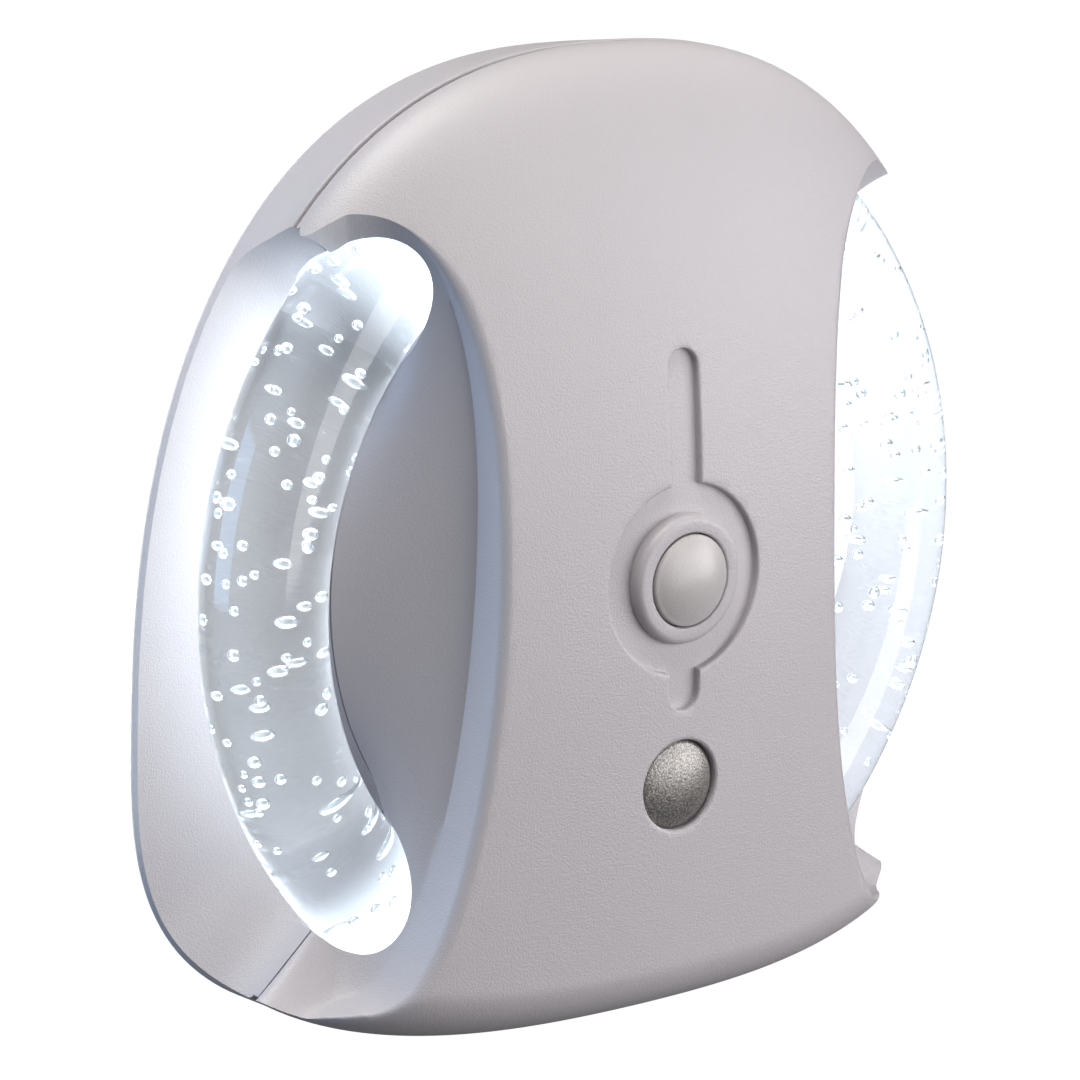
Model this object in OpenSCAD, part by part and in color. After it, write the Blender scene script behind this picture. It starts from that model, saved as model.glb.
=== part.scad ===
// Plug in night light: two curved acrylic rods bridge side pockets of a two part housing.
// Origin: middle of the plug on the wall face. Front is -Y, the wall is +Y, +Z is up.

/* [Housing] */
// Widest half width of the body, at the parting line
half_w = 50; // [48:0.5:53]
// Height of the body's top above the plug
top_h = 50.8; // [49:0.2:54]
// Depth of the body's bottom below the plug
low_h = 47; // [45.5:0.5:50]
// How far below the plug the body is widest
wide_drop = 14; // [12:0.5:16]
// Roundness of the outline above its widest level, where 2 is an ellipse
round_top = 2.4; // [2.2:0.05:2.7]
// Roundness of the outline below its widest level
round_low = 3; // [2.6:0.1:3.4]
// Depth of the front housing, from its face to the parting line
front_d = 15.2; // [14.8:0.2:17]
// Depth of the rear housing, from the parting line to the wall
rear_d = 9.8; // [9.4:0.2:11]
// How far the rear housing narrows from the parting line to the wall
draft = 1.1; // [0.4:0.1:1.6]
// How far the rear housing's bottom drops towards the wall
low_spread = 1; // [0:0.1:1.4]
// Wall thickness of both housings
wall = 2; // [1.6:0.1:2.2]
// Rounding of the edge at the wall
back_round = 1.2; // [0.6:0.1:1.8]
// Height over which the face rolls under at the bottom
bottom_roll = 7.5; // [5:0.5:10]
// How fast the face falls away to the sides
cross_round = 1.8; // [1.6:0.1:2.2]
// How late the face rolls over at the top
top_fall = 2.3; // [2:0.1:2.8]

/* [Side pockets] */
// Half width of the front panel at its waist
waist_half_w = 21.3; // [21:0.1:23]
// Height of the waist above the plug
waist_h = 5; // [2:0.5:8]
// Height of the pocket's top end at the front
pocket_top = 36.5; // [35:0.5:37.5]
// Depth of the pocket's lower end at the front
pocket_low = 40; // [39:0.5:41]
// How far the panel edge flares at the top end
flare_top = 9; // [7:0.5:11]
// How far the panel edge flares at the lower end
flare_low = 12.2; // [10:0.2:14]
// Depth of the band beside the panel, at the waist
band_d = 6.4; // [5.5:0.1:7.5]
// How much deeper the band gets at its ends
band_gain = 4.4; // [3:0.2:5]
// How far the lower lip falls towards the side, out of 10
lip_fall = 2.8; // [1.5:0.1:3.5]
// Angle of the pocket's ends, seen from the middle of the rod's bend
pocket_angle = 42.5; // [41:0.5:44]
// Gap between the rod and the pocket round it
trough_gap = 1.75; // [1.2:0.05:1.8]

/* [Light rods] */
// Diameter of the acrylic rod
rod_d = 12.5; // [11.6:0.1:12.8]
// Radius of the rod's bend, to its middle
rod_bend_r = 42.8; // [42:0.2:43.4]
// How far the middle of the bend lies on the far side of the body's middle
rod_offset = 2.8; // [2:0.2:3.6]
// How far the middle of the bend lies below the plug
rod_drop = 0.7; // [0:0.1:1.5]
// Angle from the middle of the rod to each end
rod_angle = 54; // [52:0.5:56]
// Clearance round the rod in its sockets
rod_clear = 0.25; // [0.15:0.05:0.35]
// Wall of the sockets
socket_wall = 1.5; // [1.2:0.1:1.8]
// Number of bubbles in a rod
bubbles = 126; // [60:1:126]
// Diameter of the largest bubbles
bubble_d = 1.3; // [0.9:0.05:1.35]

/* [Button] */
// Diameter of the push button
button_d = 9.2; // [8.6:0.1:9.4]
// Travel of the push button
button_travel = 1; // [0.6:0.1:1.2]
// How far the button's dome stands out of its ring
button_dome = 1.3; // [0.8:0.1:1.8]
// Clearance round the button
button_clear = 0.15; // [0.1:0.05:0.25]
// Outer diameter of the raised ring
ring_d = 13; // [12.4:0.1:13.4]
// How far the ring stands out of the face
ring_proud = 0.3; // [0.1:0.1:0.6]
// Outer diameter of the recess round the ring
recess_d = 19.2; // [18:0.2:20]
// Depth of the recess and its slots
recess_deep = 0.9; // [0.6:0.1:1.1]
// Width of the slots
slot_w = 3.9; // [3:0.1:4.4]
// Height of the upper slot's end above the button
slot_up = 22.7; // [18:0.5:26]
// Depth of the lower slot's end below the button
slot_down = 13.3; // [12:0.1:14]

/* [Light sensor] */
// Diameter of the sensor's lens
lens_d = 9; // [8:0.1:9.6]
// How far the lens lies below the button
lens_drop = 20.9; // [20:0.1:22]
// Diameter of the photocell
cell_d = 5.1; // [4:0.1:5.6]

/* [Circuit board] */
// Half width of the board
board_half_w = 19; // [17:0.5:19.5]
// Height of the board's top edge above the plug
board_top = 27; // [25:0.5:27]
// Depth of the board's lower edge below the plug
board_low = 28; // [26:0.5:28]
// Thickness of the board
board_t = 1.6; // [1:0.1:1.6]
// Distance from the face to the front of the board
board_deep = 9.5; // [9.3:0.1:9.7]
// Side of the push switch
switch_w = 6; // [5:0.5:7]
// Height of the push switch's body
switch_h = 3.5; // [3:0.1:3.6]
// Width of the film capacitor
film_w = 13; // [10:0.5:14]
// Height of the film capacitor, along the board
film_h = 7; // [5:0.5:8]
// Thickness of the film capacitor
film_t = 9; // [6:0.5:9.5]
// Diameter of the filter capacitor
filter_d = 8; // [6:0.5:9]
// Length of the filter capacitor
filter_l = 12; // [9:0.5:13]
// Width of the bridge rectifier
bridge_w = 8.4; // [6:0.2:9]
// Height of the bridge rectifier, along the board
bridge_h = 6.4; // [5:0.2:7]
// Thickness of the bridge rectifier
bridge_t = 3.3; // [2.4:0.1:3.6]
// Diameter of the fuse resistor
fuse_d = 3; // [2.4:0.2:3.6]
// Diameter of the small resistors
resistor_d = 2.4; // [2:0.2:3]

/* [Plug] */
// Distance between the blades' middles
blade_pitch = 12.7; // [12.7:0.1:19]
// Width of a blade
blade_w = 6.35; // [6:0.05:7]
// Thickness of a blade
blade_t = 1.52; // [1.4:0.02:1.65]
// Length of the blades outside the housing
blade_out = 17.4; // [15.9:0.1:18.3]
// Diameter of the hole near each blade's tip
blade_hole_d = 3.2; // [2.6:0.1:3.6]

/* [Fasteners] */
// Height of the upper housing screw above the plug
screw_top = 43; // [42.5:0.1:43.5]
// Depth of the lower housing screw below the plug
screw_low = 38.5; // [38:0.1:39]
// Diameter of the housing screws
screw_d = 2.6; // [2.4:0.1:3]
// Diameter of the small screws that hold the board and the blade plate
small_screw_d = 2; // [1.8:0.1:2.2]

/* [Hidden] */

PEARL = [0.82, 0.80, 0.80];
CLEAR = [0.86, 0.91, 0.95];
BRASS = [0.80, 0.68, 0.38];
STEEL = [0.70, 0.70, 0.72];
CREAM = [0.93, 0.92, 0.88];
BLACK = [0.12, 0.12, 0.13];

depth = front_d + rear_d;
up_h = top_h + wide_drop;
down_h = low_h - wide_drop;
reach = half_w + 25;
ring_r = ring_d / 2;
button_r = button_d / 2;
lens_r = lens_d / 2;
rod_r = rod_d / 2;
bore_r = rod_r + rod_clear;
trough_r = rod_r + trough_gap;
fit = 0.1;

// Places, measured from the wall towards the front
board_y = -depth + board_deep;
board_back_y = board_y + board_t;
panel_back_y = -depth + wall + 0.4;
switch_front_y = board_y - switch_h;
plunger_front_y = switch_front_y - button_travel - 0.4;

function bend(v, e) = sign(v) * pow(abs(v), e);
function mix(a, b, f) = a + (b - a) * f;

// ---- Outer form -------------------------------------------------------------------------

// Outline seen from the front, as two half superellipses, drawn in by g and lower by drop
function outline(t, g, drop = 0) =
    let (upper = sin(t) >= 0, n = upper ? round_top : round_low)
    [(half_w - g) * bend(cos(t), 2 / n),
     -wide_drop + (upper ? up_h - g : down_h - g + drop) * bend(sin(t), 2 / n)];

// Distance from the widest level to the outline, straight above or below x
function rise_at(x, upper, g) =
    let (n = upper ? round_top : round_low, side = min(1, abs(x) / (half_w - g)))
    ((upper ? up_h : down_h) - g) * pow(1 - pow(side, n), 1 / n);

// Depth of the face behind the foremost plane: it falls away to the sides, over the top
// and, in the last bottom_roll, under the bottom, and meets the outline square on
function face_depth(x, z, g = 0) =
    let (upper = z >= -wide_drop,
         across = pow(min(1, abs(x) / (half_w - g)), cross_round),
         v = min(1, abs(z + wide_drop) / max(0.01, rise_at(x, upper, g))),
         start = upper ? 0 : 1 - bottom_roll / down_h,
         over = pow(max(0, v - start) / (1 - start), upper ? top_fall : 2),
         fall = across + (1 - across) * over)
    g + (front_d - g) * (1 - sqrt(max(0, 1 - fall)));

OUT_N = 84;
DOME_N = 13;

function dome_ring(s, g) = [for (i = [0 : OUT_N - 1])
    let (p = outline(i * 360 / OUT_N, g), x = p[0] * s, z = -wide_drop + (p[1] + wide_drop) * s)
    [x, -depth + (s < 0.05 ? g : s > 0.999 ? front_d : face_depth(x, z, g)), z]];

function flat_ring(y, g, drop = 0) = [for (i = [0 : OUT_N - 1])
    let (p = outline(i * 360 / OUT_N, g, drop)) [p[0], y, p[1]]];

// Closed solid through equal rings of points, given from the front to the back
module skin(rings) {
    n = len(rings[0]);
    m = len(rings);
    polyhedron(
        points = [for (r = rings) for (p = r) p],
        faces = concat(
            [[for (i = [n - 1 : -1 : 0]) i]],
            [for (k = [0 : m - 2]) for (i = [0 : n - 1]) let (j = (i + 1) % n)
                [k * n + i, k * n + j, (k + 1) * n + j]],
            [for (k = [0 : m - 2]) for (i = [0 : n - 1]) let (j = (i + 1) % n)
                [k * n + i, (k + 1) * n + j, (k + 1) * n + i]],
            [[for (i = [0 : n - 1]) (m - 1) * n + i]]
        )
    );
}

// Front form, drawn in by g, carried past the parting line by beyond
module dome(g, beyond = 0) {
    skin(concat(
        [dome_ring(0.04, g)],
        [for (k = [1 : DOME_N]) dome_ring(sin(k * 90 / DOME_N), g)],
        beyond > 0 ? [flat_ring(-rear_d + beyond, g)] : []
    ));
}

// Rear form, drawn in by g, from the parting line (or before it) to the wall side
module rear_form(g, before = 0) {
    skin(concat(
        before > 0 ? [flat_ring(-rear_d - before, g)] : [],
        [flat_ring(-rear_d, g),
         flat_ring(-back_round - g, g + draft, draft + low_spread),
         flat_ring(-back_round * 0.3 - g, g + draft + back_round * 0.3, draft + low_spread),
         flat_ring(-g, g + draft + back_round, draft + low_spread)]
    ));
}

// ---- Side pockets -----------------------------------------------------------------------

HALF_Q = 16;
FLOOR_N = 6;
TROUGH_N = 6;
TURN = 0.75;

// Edge of the front panel: a quarter ellipse up from the waist and another down, then out.
// q runs from 1, far out at the top, through 0 at the waist, to -1, far out at the bottom
function panel_edge(q, g) =
    let (m = abs(q), e = min(1, m / TURN),
         a = waist_half_w - g + (q >= 0 ? flare_top : flare_low) * (1 - cos(90 * e)),
         span = q >= 0 ? pocket_top + g - waist_h : -pocket_low - g - waist_h,
         out = (reach - a) * max(0, m - TURN) / (1 - TURN))
    [a + out, waist_h + span * sin(90 * e) - (q < 0 ? out * lip_fall / 10 : 0)];

// Arc round the rod's bend at radius r from its middle, with ends that run straight out
function bend_edge(q, r, top_a, low_a) =
    let (m = abs(q), turn = 1 - pow(1 - min(1, m / TURN), 1.6),
         angle = (q >= 0 ? top_a : -low_a) * turn,
         out = mix(r, reach + 8, pow(max(0, m - 0.5) / 0.5, 2.2)))
    [-rod_offset + out * cos(angle), -rod_drop + out * sin(angle)];

function band_depth(q) = band_d + band_gain * pow(min(1, abs(q) / TURN), 2);

function pocket_ring(f) = [for (k = [HALF_Q : -1 : -HALF_Q]) f(k / HALF_Q)];

// One pocket, on the right, grown by g: a band straight back from the panel's edge, a floor
// that spreads to the arc behind the rod, and a trough round the rod that opens to the side
module pocket(g = 0) {
    inner = rod_bend_r - trough_r - g;
    ends = pocket_angle + g * 1.4;
    front = pocket_ring(function (q) let (p = panel_edge(q, g)) [p[0], -depth - 4, p[1]]);
    floor_rings = [for (k = [0 : FLOOR_N]) let (w = k / FLOOR_N)
        pocket_ring(function (q)
            let (a = panel_edge(q, g), b = bend_edge(q, inner, ends, ends),
                 from = -depth + band_depth(q) + g * 0.4, p = mix(a, b, w))
            [p[0], mix(from, -rear_d, w), p[1]])];
    trough = [for (k = [1 : TROUGH_N]) let (t = k * 90 / TROUGH_N, tight = 1 - cos(t))
        pocket_ring(function (q)
            let (p = bend_edge(q, rod_bend_r - (trough_r + g) * cos(t),
                               ends - 3 * tight, ends - 11 * tight))
            [p[0], -rear_d + (trough_r + g) * sin(t) * 0.93, p[1]])];
    last = pocket_ring(function (q)
        let (p = bend_edge(q, half_w + 9, ends - 4, ends - 13))
        [p[0], -rear_d + (trough_r + g) * 0.945, p[1]]);
    skin(concat([front], floor_rings, trough, [last]));
}

module both_sides() {
    children();
    mirror([1, 0, 0]) children();
}

// Part of a ring round the rod's bend, on the right: radius r, from angle a0 to angle a1
module bend_tube(r, a0, a1, fn = 28, round = 72) {
    translate([-rod_offset, -rear_d, -rod_drop])
        rotate([90, 0, 0])
            rotate([0, 0, a0])
                rotate_extrude(angle = a1 - a0, $fn = round)
                    translate([rod_bend_r, 0]) circle(r = r, $fn = fn);
}

// A socket holds SOCKET_IN of the rod's end and runs SOCKET_PAST beyond the lamp's cup
SOCKET_IN = 11.2;
SOCKET_PAST = 2.6;
CUP_TO = 6.4;
socket_from = rod_angle - bend_angle(SOCKET_IN);
socket_to = rod_angle + bend_angle(CUP_TO + SOCKET_PAST);

// Angle round the rod's bend that a length along its middle takes
function bend_angle(length) = length / rod_bend_r * 180 / PI;

// Walls of the four sockets for the rods' ends and the lamps behind them
module sockets() {
    both_sides() {
        bend_tube(bore_r + socket_wall, socket_from, socket_to);
        bend_tube(bore_r + socket_wall, -socket_to, -socket_from);
    }
}

// Way for both rods, through the sockets at either end
module rod_ways() {
    both_sides() bend_tube(bore_r, -socket_to - 1, socket_to + 1);
}

// ---- Housings ---------------------------------------------------------------------------

module keyhole_outline() {
    circle(d = recess_d, $fn = 72);
    for (end = [slot_up, -slot_down]) {
        tip = end - sign(end) * slot_w / 2;
        translate([0, tip]) circle(d = slot_w, $fn = 32);
        translate([-slot_w / 2, min(0, tip)]) square([slot_w, abs(tip)]);
    }
}

// Recess round the button with its slots, as deep below the curved face everywhere
module keyhole() {
    difference() {
        translate([0, -depth + front_d / 2, 0])
            rotate([90, 0, 0]) linear_extrude(front_d) keyhole_outline();
        translate([0, recess_deep, 0]) dome(0);
        rotate([90, 0, 0]) cylinder(r = ring_r, h = depth + 4, $fn = 64);
    }
}

module hollow(g) {
    difference() {
        children(0);
        both_sides() pocket(g);
        sockets();
    }
}

module front_shell() {
    difference() {
        dome(0);
        both_sides() pocket();
        keyhole();
        hollow(wall) dome(wall, beyond = 1);
        rod_ways();
    }
}

module rear_shell() {
    difference() {
        rear_form(0);
        both_sides() pocket();
        hollow(wall) rear_form(wall, before = 1);
        rod_ways();
    }
}

// Keeps a carved form as one skin of flat facets
module carved() {
    resize([0, 0, 0]) children();
}

// A straight round post along Y from y0 back to y1
module post(x, z, r, y0, y1, fn = 48) {
    translate([x, y1, z]) rotate([90, 0, 0]) cylinder(r = r, h = y1 - y0, $fn = fn);
}

module tube(x, z, r, r_in, y0, y1) {
    difference() {
        post(x, z, r, y0, y1);
        post(x, z, r_in, y0 - 1, y1 + 1);
    }
}

BOSS_R = 3.4;
BEAD_TRIM = 0.4;
TOP_SCREW_L = 8;
LOW_SCREW_L = 10;
SMALL_SCREW_L = 4.4;
PILOT_PAST = 0.8;
BOARD_POSTS = [[15, 22], [-15, 22], [15, -23], [-15, -23]];
housing_pilot_r = screw_d / 2 - 0.25;
small_pilot_r = small_screw_d / 2 - 0.2;
button_hole_r = button_r + button_clear;
flange_r = button_r + 1.1;
flange_y = panel_back_y + fit;
ring_front_y = -depth - ring_proud;
top_boss_y = -depth + face_depth(0, screw_top + BOSS_R) + wall / 2;

// Rounded section of the raised ring: half of a bead between the two radii
module ring_bead() {
    inner = button_hole_r - BEAD_TRIM;
    bead = (ring_r - inner) / 2;
    rotate([90, 0, 0]) rotate_extrude($fn = 60) {
        translate([inner + bead, -ring_front_y - bead]) circle(r = bead, $fn = 16);
        translate([inner, -panel_back_y])
            square([2 * bead, -ring_front_y - bead + panel_back_y]);
    }
}

module front_housing() {
    color(PEARL) difference() {
        carved() {
            front_shell();
            ring_bead();
            tube(0, 0, flange_r + 1.3, flange_r + fit, panel_back_y - 0.5, flange_y + 2.2);
            post(0, screw_top, BOSS_R, top_boss_y, -rear_d, 32);
            post(0, -screw_low, BOSS_R, -depth + wall - 0.5, -rear_d, 32);
            for (p = BOARD_POSTS)
                post(p[0], p[1], 2.6, -depth + face_depth(p[0], p[1]) + wall - 0.6, board_y, 32);
        }
        post(0, 0, button_hole_r, -depth - 5, flange_y + 1);
        post(0, -lens_drop, lens_r + fit, -depth - 5, panel_back_y + 1);
        post(0, screw_top, housing_pilot_r, -HEAD_DEEP - TOP_SCREW_L - PILOT_PAST, -rear_d + 1);
        post(0, -screw_low, housing_pilot_r, -HEAD_DEEP - LOW_SCREW_L - PILOT_PAST, -rear_d + 1);
        for (p = BOARD_POSTS)
            post(p[0], p[1], small_pilot_r, board_back_y - SMALL_SCREW_L - PILOT_PAST, board_y + 1);
    }
}

HEAD_DEEP = 5.5;
PLATE_T = 2.6;
SHOULDER_T = 1.2;
PLATE_W = 30;
PLATE_H = 12;
plate_screw_x = PLATE_W / 2 - 3;
plate_back_y = -wall - SHOULDER_T;
plate_front_y = plate_back_y - PLATE_T;

module rear_housing() {
    color(PEARL) difference() {
        union() {
            carved() rear_shell();
            for (z = [screw_top, -screw_low]) post(0, z, BOSS_R, -rear_d, -wall / 2);
            for (s = [-1, 1]) post(s * plate_screw_x, 0, 2.4, plate_back_y, -wall / 2);
        }
        for (z = [screw_top, -screw_low]) {
            post(0, z, screw_d / 2 + 0.2, -rear_d - 1, 1);
            post(0, z, screw_d, -HEAD_DEEP, 1);
        }
        for (s = [-1, 1]) {
            post(s * plate_screw_x, 0, small_pilot_r, plate_back_y - 1, -0.8);
            translate([s * blade_pitch / 2, -wall / 2, 0])
                cube([blade_t + 0.3, wall + 2, blade_w + 0.3], center = true);
        }
    }
}

// ---- Light rods and lamps ---------------------------------------------------------------

ROD_SIDES = 72;
ROD_ROUND = 180;
BUBBLE_SPAN = 47;
BUBBLE_SKIN = 0.45;
BUBBLE_SEED = 147;

// A number from 0 to 1 for bubble i that looks like chance and comes out the same each time
function scatter(i, k) =
    let (v = 43758.5453 * sin(151.9 * i + 193.1 * k + BUBBLE_SEED)) v - floor(v);

// Round bubbles in the right rod: one in each short length, at a chance place in its section
module rod_bubbles() {
    translate([-rod_offset, -rear_d, -rod_drop]) for (i = [0 : bubbles - 1]) {
        along = BUBBLE_SPAN * (2 * (i + 0.1 + 0.8 * scatter(i, 1)) / bubbles - 1);
        turn = 360 * scatter(i, 2);
        r = bubble_d / 2 * (0.6 + 0.4 * scatter(i, 3));
        off = (rod_r - BUBBLE_SKIN - r) * sqrt(0.25 + 0.75 * scatter(i, 4));
        out = rod_bend_r + off * cos(turn);
        translate([out * cos(along), off * sin(turn), out * sin(along)]) sphere(r = r, $fn = 16);
    }
}

module light_rod_right() {
    color(CLEAR) difference() {
        bend_tube(rod_r, -rod_angle, rod_angle, ROD_SIDES, ROD_ROUND);
        rod_bubbles();
    }
}

module light_rod_left() {
    mirror([1, 0, 0]) light_rod_right();
}

// Puts a piece that points along +Z onto a rod's end, so that z = 0 is the end's face and
// +Z leads away from the rod
module at_rod_end(side, level) {
    mirror([side < 0 ? 1 : 0, 0, 0])
        translate([-rod_offset, -rear_d, -rod_drop])
            mirror([0, 0, level < 0 ? 1 : 0])
                rotate([0, -rod_angle, 0]) translate([rod_bend_r, 0, 0]) children();
}

LED_R = 2.5;
CUP_R = 5.8;
CUP_FROM = 0.2;
LED_FRONT = 0.6;
LEG_SPREAD = 1.27;

module led_cup(side, level) {
    color(CREAM) at_rod_end(side, level) difference() {
        translate([0, 0, CUP_FROM]) cylinder(r = CUP_R, h = CUP_TO - CUP_FROM, $fn = 64);
        cylinder(r = LED_R + fit, h = CUP_TO + 1, $fn = 48);
        translate([0, 0, CUP_FROM - 0.1])
            cylinder(r1 = CUP_R - 0.8, r2 = LED_R + fit, h = 3, $fn = 64);
    }
}

// Lamp with a domed tip, a flange and two legs
module led(side, level) {
    color([0.95, 0.96, 1]) at_rod_end(side, level) {
        translate([0, 0, LED_FRONT]) rotate_extrude($fn = 64) difference() {
            union() {
                translate([0, LED_R]) circle(r = LED_R, $fn = 48);
                translate([0, LED_R]) square([LED_R, CUP_TO - LED_FRONT - LED_R + 0.05]);
                translate([0, CUP_TO - LED_FRONT + 0.05]) square([LED_R + 0.4, 1]);
            }
            translate([-2 * LED_R, -1]) square([2 * LED_R, 4 * LED_R + 4]);
        }
        for (s = [-1, 1])
            translate([-0.25, s * LEG_SPREAD - 0.25, CUP_TO + 1])
                cube([0.5, 0.5, SOCKET_PAST + 0.4]);
    }
}

// Tube of radius r from a to d along a cubic curve that leaves towards b and arrives from c
module wire(a, b, c, d, r = 0.6, n = 12, sides = 8) {
    function at(t) =
        let (ab = mix(a, b, t), bc = mix(b, c, t), cd = mix(c, d, t))
        mix(mix(ab, bc, t), mix(bc, cd, t), t);
    function unit(v) = v / norm(v);
    side_way = unit(cross(b - a, d - a));
    rings = [for (k = [0 : n]) let (t = k / n, p = at(t),
                 along = unit(at(min(1, t + 0.01)) - at(max(0, t - 0.01))),
                 u = unit(cross(along, side_way)), w = cross(along, u))
        [for (i = [0 : sides - 1]) p + r * (cos(i * 360 / sides) * u + sin(i * 360 / sides) * w)]];
    skin(rings);
}

LEG_END = CUP_TO + SOCKET_PAST + 1.4;
WIRE_GAP = 0.05;
WIRE_X = 8;
WIRE_BEND = 2;

// Pair of wires from a lamp's legs to the back of the board
module led_wires(side, level) {
    function past(away, s) =
        [side * (-rod_offset + rod_bend_r * cos(rod_angle) - away * sin(rod_angle)),
         -rear_d + s * LEG_SPREAD,
         -rod_drop + level * (rod_bend_r * sin(rod_angle) + away * cos(rod_angle))];
    edge = level > 0 ? board_top : board_low;
    color([0.9, 0.9, 0.9]) for (s = [-1, 1]) {
        pad = [side * (WIRE_X - s * 1.3), board_back_y + WIRE_GAP, level * (edge - 2)];
        wire(past(LEG_END + WIRE_GAP, s), past(LEG_END + WIRE_BEND, s),
             pad + [0, 4 * WIRE_BEND, 0], pad);
    }
}

module led_top_left() { led(-1, 1); }
module led_top_right() { led(1, 1); }
module led_low_left() { led(-1, -1); }
module led_low_right() { led(1, -1); }
module led_cup_top_left() { led_cup(-1, 1); }
module led_cup_top_right() { led_cup(1, 1); }
module led_cup_low_left() { led_cup(-1, -1); }
module led_cup_low_right() { led_cup(1, -1); }
module led_wires_top_left() { led_wires(-1, 1); }
module led_wires_top_right() { led_wires(1, 1); }
module led_wires_low_left() { led_wires(-1, -1); }
module led_wires_low_right() { led_wires(1, -1); }

// ---- Button and push switch -------------------------------------------------------------

// Spherical cap of base radius r and height h, with its base at y and its top to the front
module front_dome(r, h, y, z) {
    ball = (r * r + h * h) / (2 * h);
    translate([0, y, z]) rotate([90, 0, 0]) rotate_extrude($fn = 72) intersection() {
        translate([0, h - ball]) circle(r = ball, $fn = 180);
        square([r, h + 1]);
    }
}

module push_button() {
    color(PEARL) {
        front_dome(button_r, button_dome, ring_front_y, 0);
        post(0, 0, button_r, ring_front_y, flange_y);
        post(0, 0, flange_r - 0.1, flange_y, flange_y + 0.8);
        post(0, 0, 1.6, flange_y + 0.8, plunger_front_y - fit);
    }
}

SNAP_H = 0.4;
snap_y = switch_front_y + 2.9;

module switch_plunger() {
    color(BLACK) {
        post(0, 0, 1.7, plunger_front_y, switch_front_y);
        post(0, 0, 1.55, switch_front_y, snap_y - SNAP_H - button_travel - 0.05);
    }
}

// Snap dome inside the switch, under the plunger
module switch_dome() {
    color(STEEL) front_dome(2, SNAP_H, snap_y, 0);
}

module switch_body() {
    color([0.3, 0.3, 0.31]) difference() {
        union() {
            translate([-switch_w / 2, switch_front_y, -switch_w / 2])
                cube([switch_w, switch_h, switch_w]);
            for (sx = [-1, 1]) for (sz = [-1, 1])
                translate([sx * (switch_w / 2 - 0.6) - 0.3, board_y - 0.5, sz * 2.25 - 0.3])
                    cube([0.6, 0.5 + board_t + 0.8, 0.6]);
        }
        post(0, 0, 1.8, switch_front_y - 1, snap_y - 0.5);
        post(0, 0, 2.2, snap_y - 0.6, snap_y);
    }
}

// ---- Light sensor -----------------------------------------------------------------------

lens_back_y = panel_back_y + 1;

module sensor_lens() {
    color([0.55, 0.54, 0.53]) {
        front_dome(lens_r, 1, -depth + 0.7, -lens_drop);
        post(0, -lens_drop, lens_r, -depth + 0.7, panel_back_y + fit);
        post(0, -lens_drop, lens_r + 0.9, panel_back_y + fit, lens_back_y);
    }
}

CELL_T = 2.1;

module photocell() {
    color([0.75, 0.35, 0.2]) {
        post(0, -lens_drop, cell_d / 2, lens_back_y + 0.3, lens_back_y + 0.3 + CELL_T);
        for (s = [-1, 1])
            post(s * 1.3, -lens_drop, 0.3, lens_back_y + 0.3 + CELL_T, board_back_y + 0.8);
    }
}

module sensor_sleeve() {
    color(BLACK)
        tube(0, -lens_drop, cell_d / 2 + 1.1, cell_d / 2 + 0.15, lens_back_y + fit, board_y);
}

// ---- Circuit board ----------------------------------------------------------------------

module circuit_board() {
    color([0.1, 0.4, 0.2]) difference() {
        translate([-board_half_w, board_y, -board_low])
            cube([2 * board_half_w, board_t, board_top + board_low]);
        for (p = BOARD_POSTS)
            post(p[0], p[1], small_screw_d / 2 + 0.15, board_y - 1, board_back_y + 1);
        for (s = [-1, 1])
            post(s * 1.3, -lens_drop, 0.45, board_y - 1, board_back_y + 1);
        for (sx = [-1, 1]) for (sz = [-1, 1])
            translate([sx * (switch_w / 2 - 0.6), board_y + board_t / 2, sz * 2.25])
                cube([0.9, board_t + 2, 0.9], center = true);
    }
}

// Rows of components on the back of the board, as heights above the plug
low_row = 9 - board_low;
small_row = low_row + film_h + 6;
fuse_row = 10;
top_row = board_top - 8;
part_gap = 5;

module film_capacitor() {
    color([0.75, 0.2, 0.15])
        translate([-film_w, board_back_y, low_row]) cube([film_w, film_t, film_h]);
}

// Round can that lies on the back of the board, its axis along X
module filter_capacitor() {
    color([0.15, 0.2, 0.4])
        translate([part_gap - filter_l, board_back_y + filter_d / 2, top_row])
            rotate([0, 90, 0]) cylinder(d = filter_d, h = filter_l, $fn = 64);
}

module bridge_rectifier() {
    color(BLACK)
        translate([part_gap, board_back_y, low_row]) cube([bridge_w, bridge_t, bridge_h]);
}

module control_chip() {
    color(BLACK) translate([-12, board_back_y, 8]) cube([4, 1.5, 5]);
}

// Resistor along X at height z, with a leg at either end
module resistor(x, z, d, length, leg) {
    translate([x, board_back_y + d / 2, z]) rotate([0, 90, 0]) {
        cylinder(d = d, h = length, $fn = 48);
        translate([0, 0, -leg]) cylinder(r = 0.3, h = length + 2 * leg, $fn = 24);
    }
}

module fuse_resistor() { color([0.3, 0.6, 0.4]) resistor(-4, fuse_row, fuse_d, 7, 1.5); }

module bleed_resistor() {
    color([0.8, 0.7, 0.5]) resistor(-11, small_row, resistor_d, 6, 1.5);
}

module dropper_resistor() {
    color([0.6, 0.7, 0.85]) resistor(6, small_row, resistor_d, 6, 1.5);
}

// ---- Plug -------------------------------------------------------------------------------

TAB_IN = 8.6;

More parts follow.
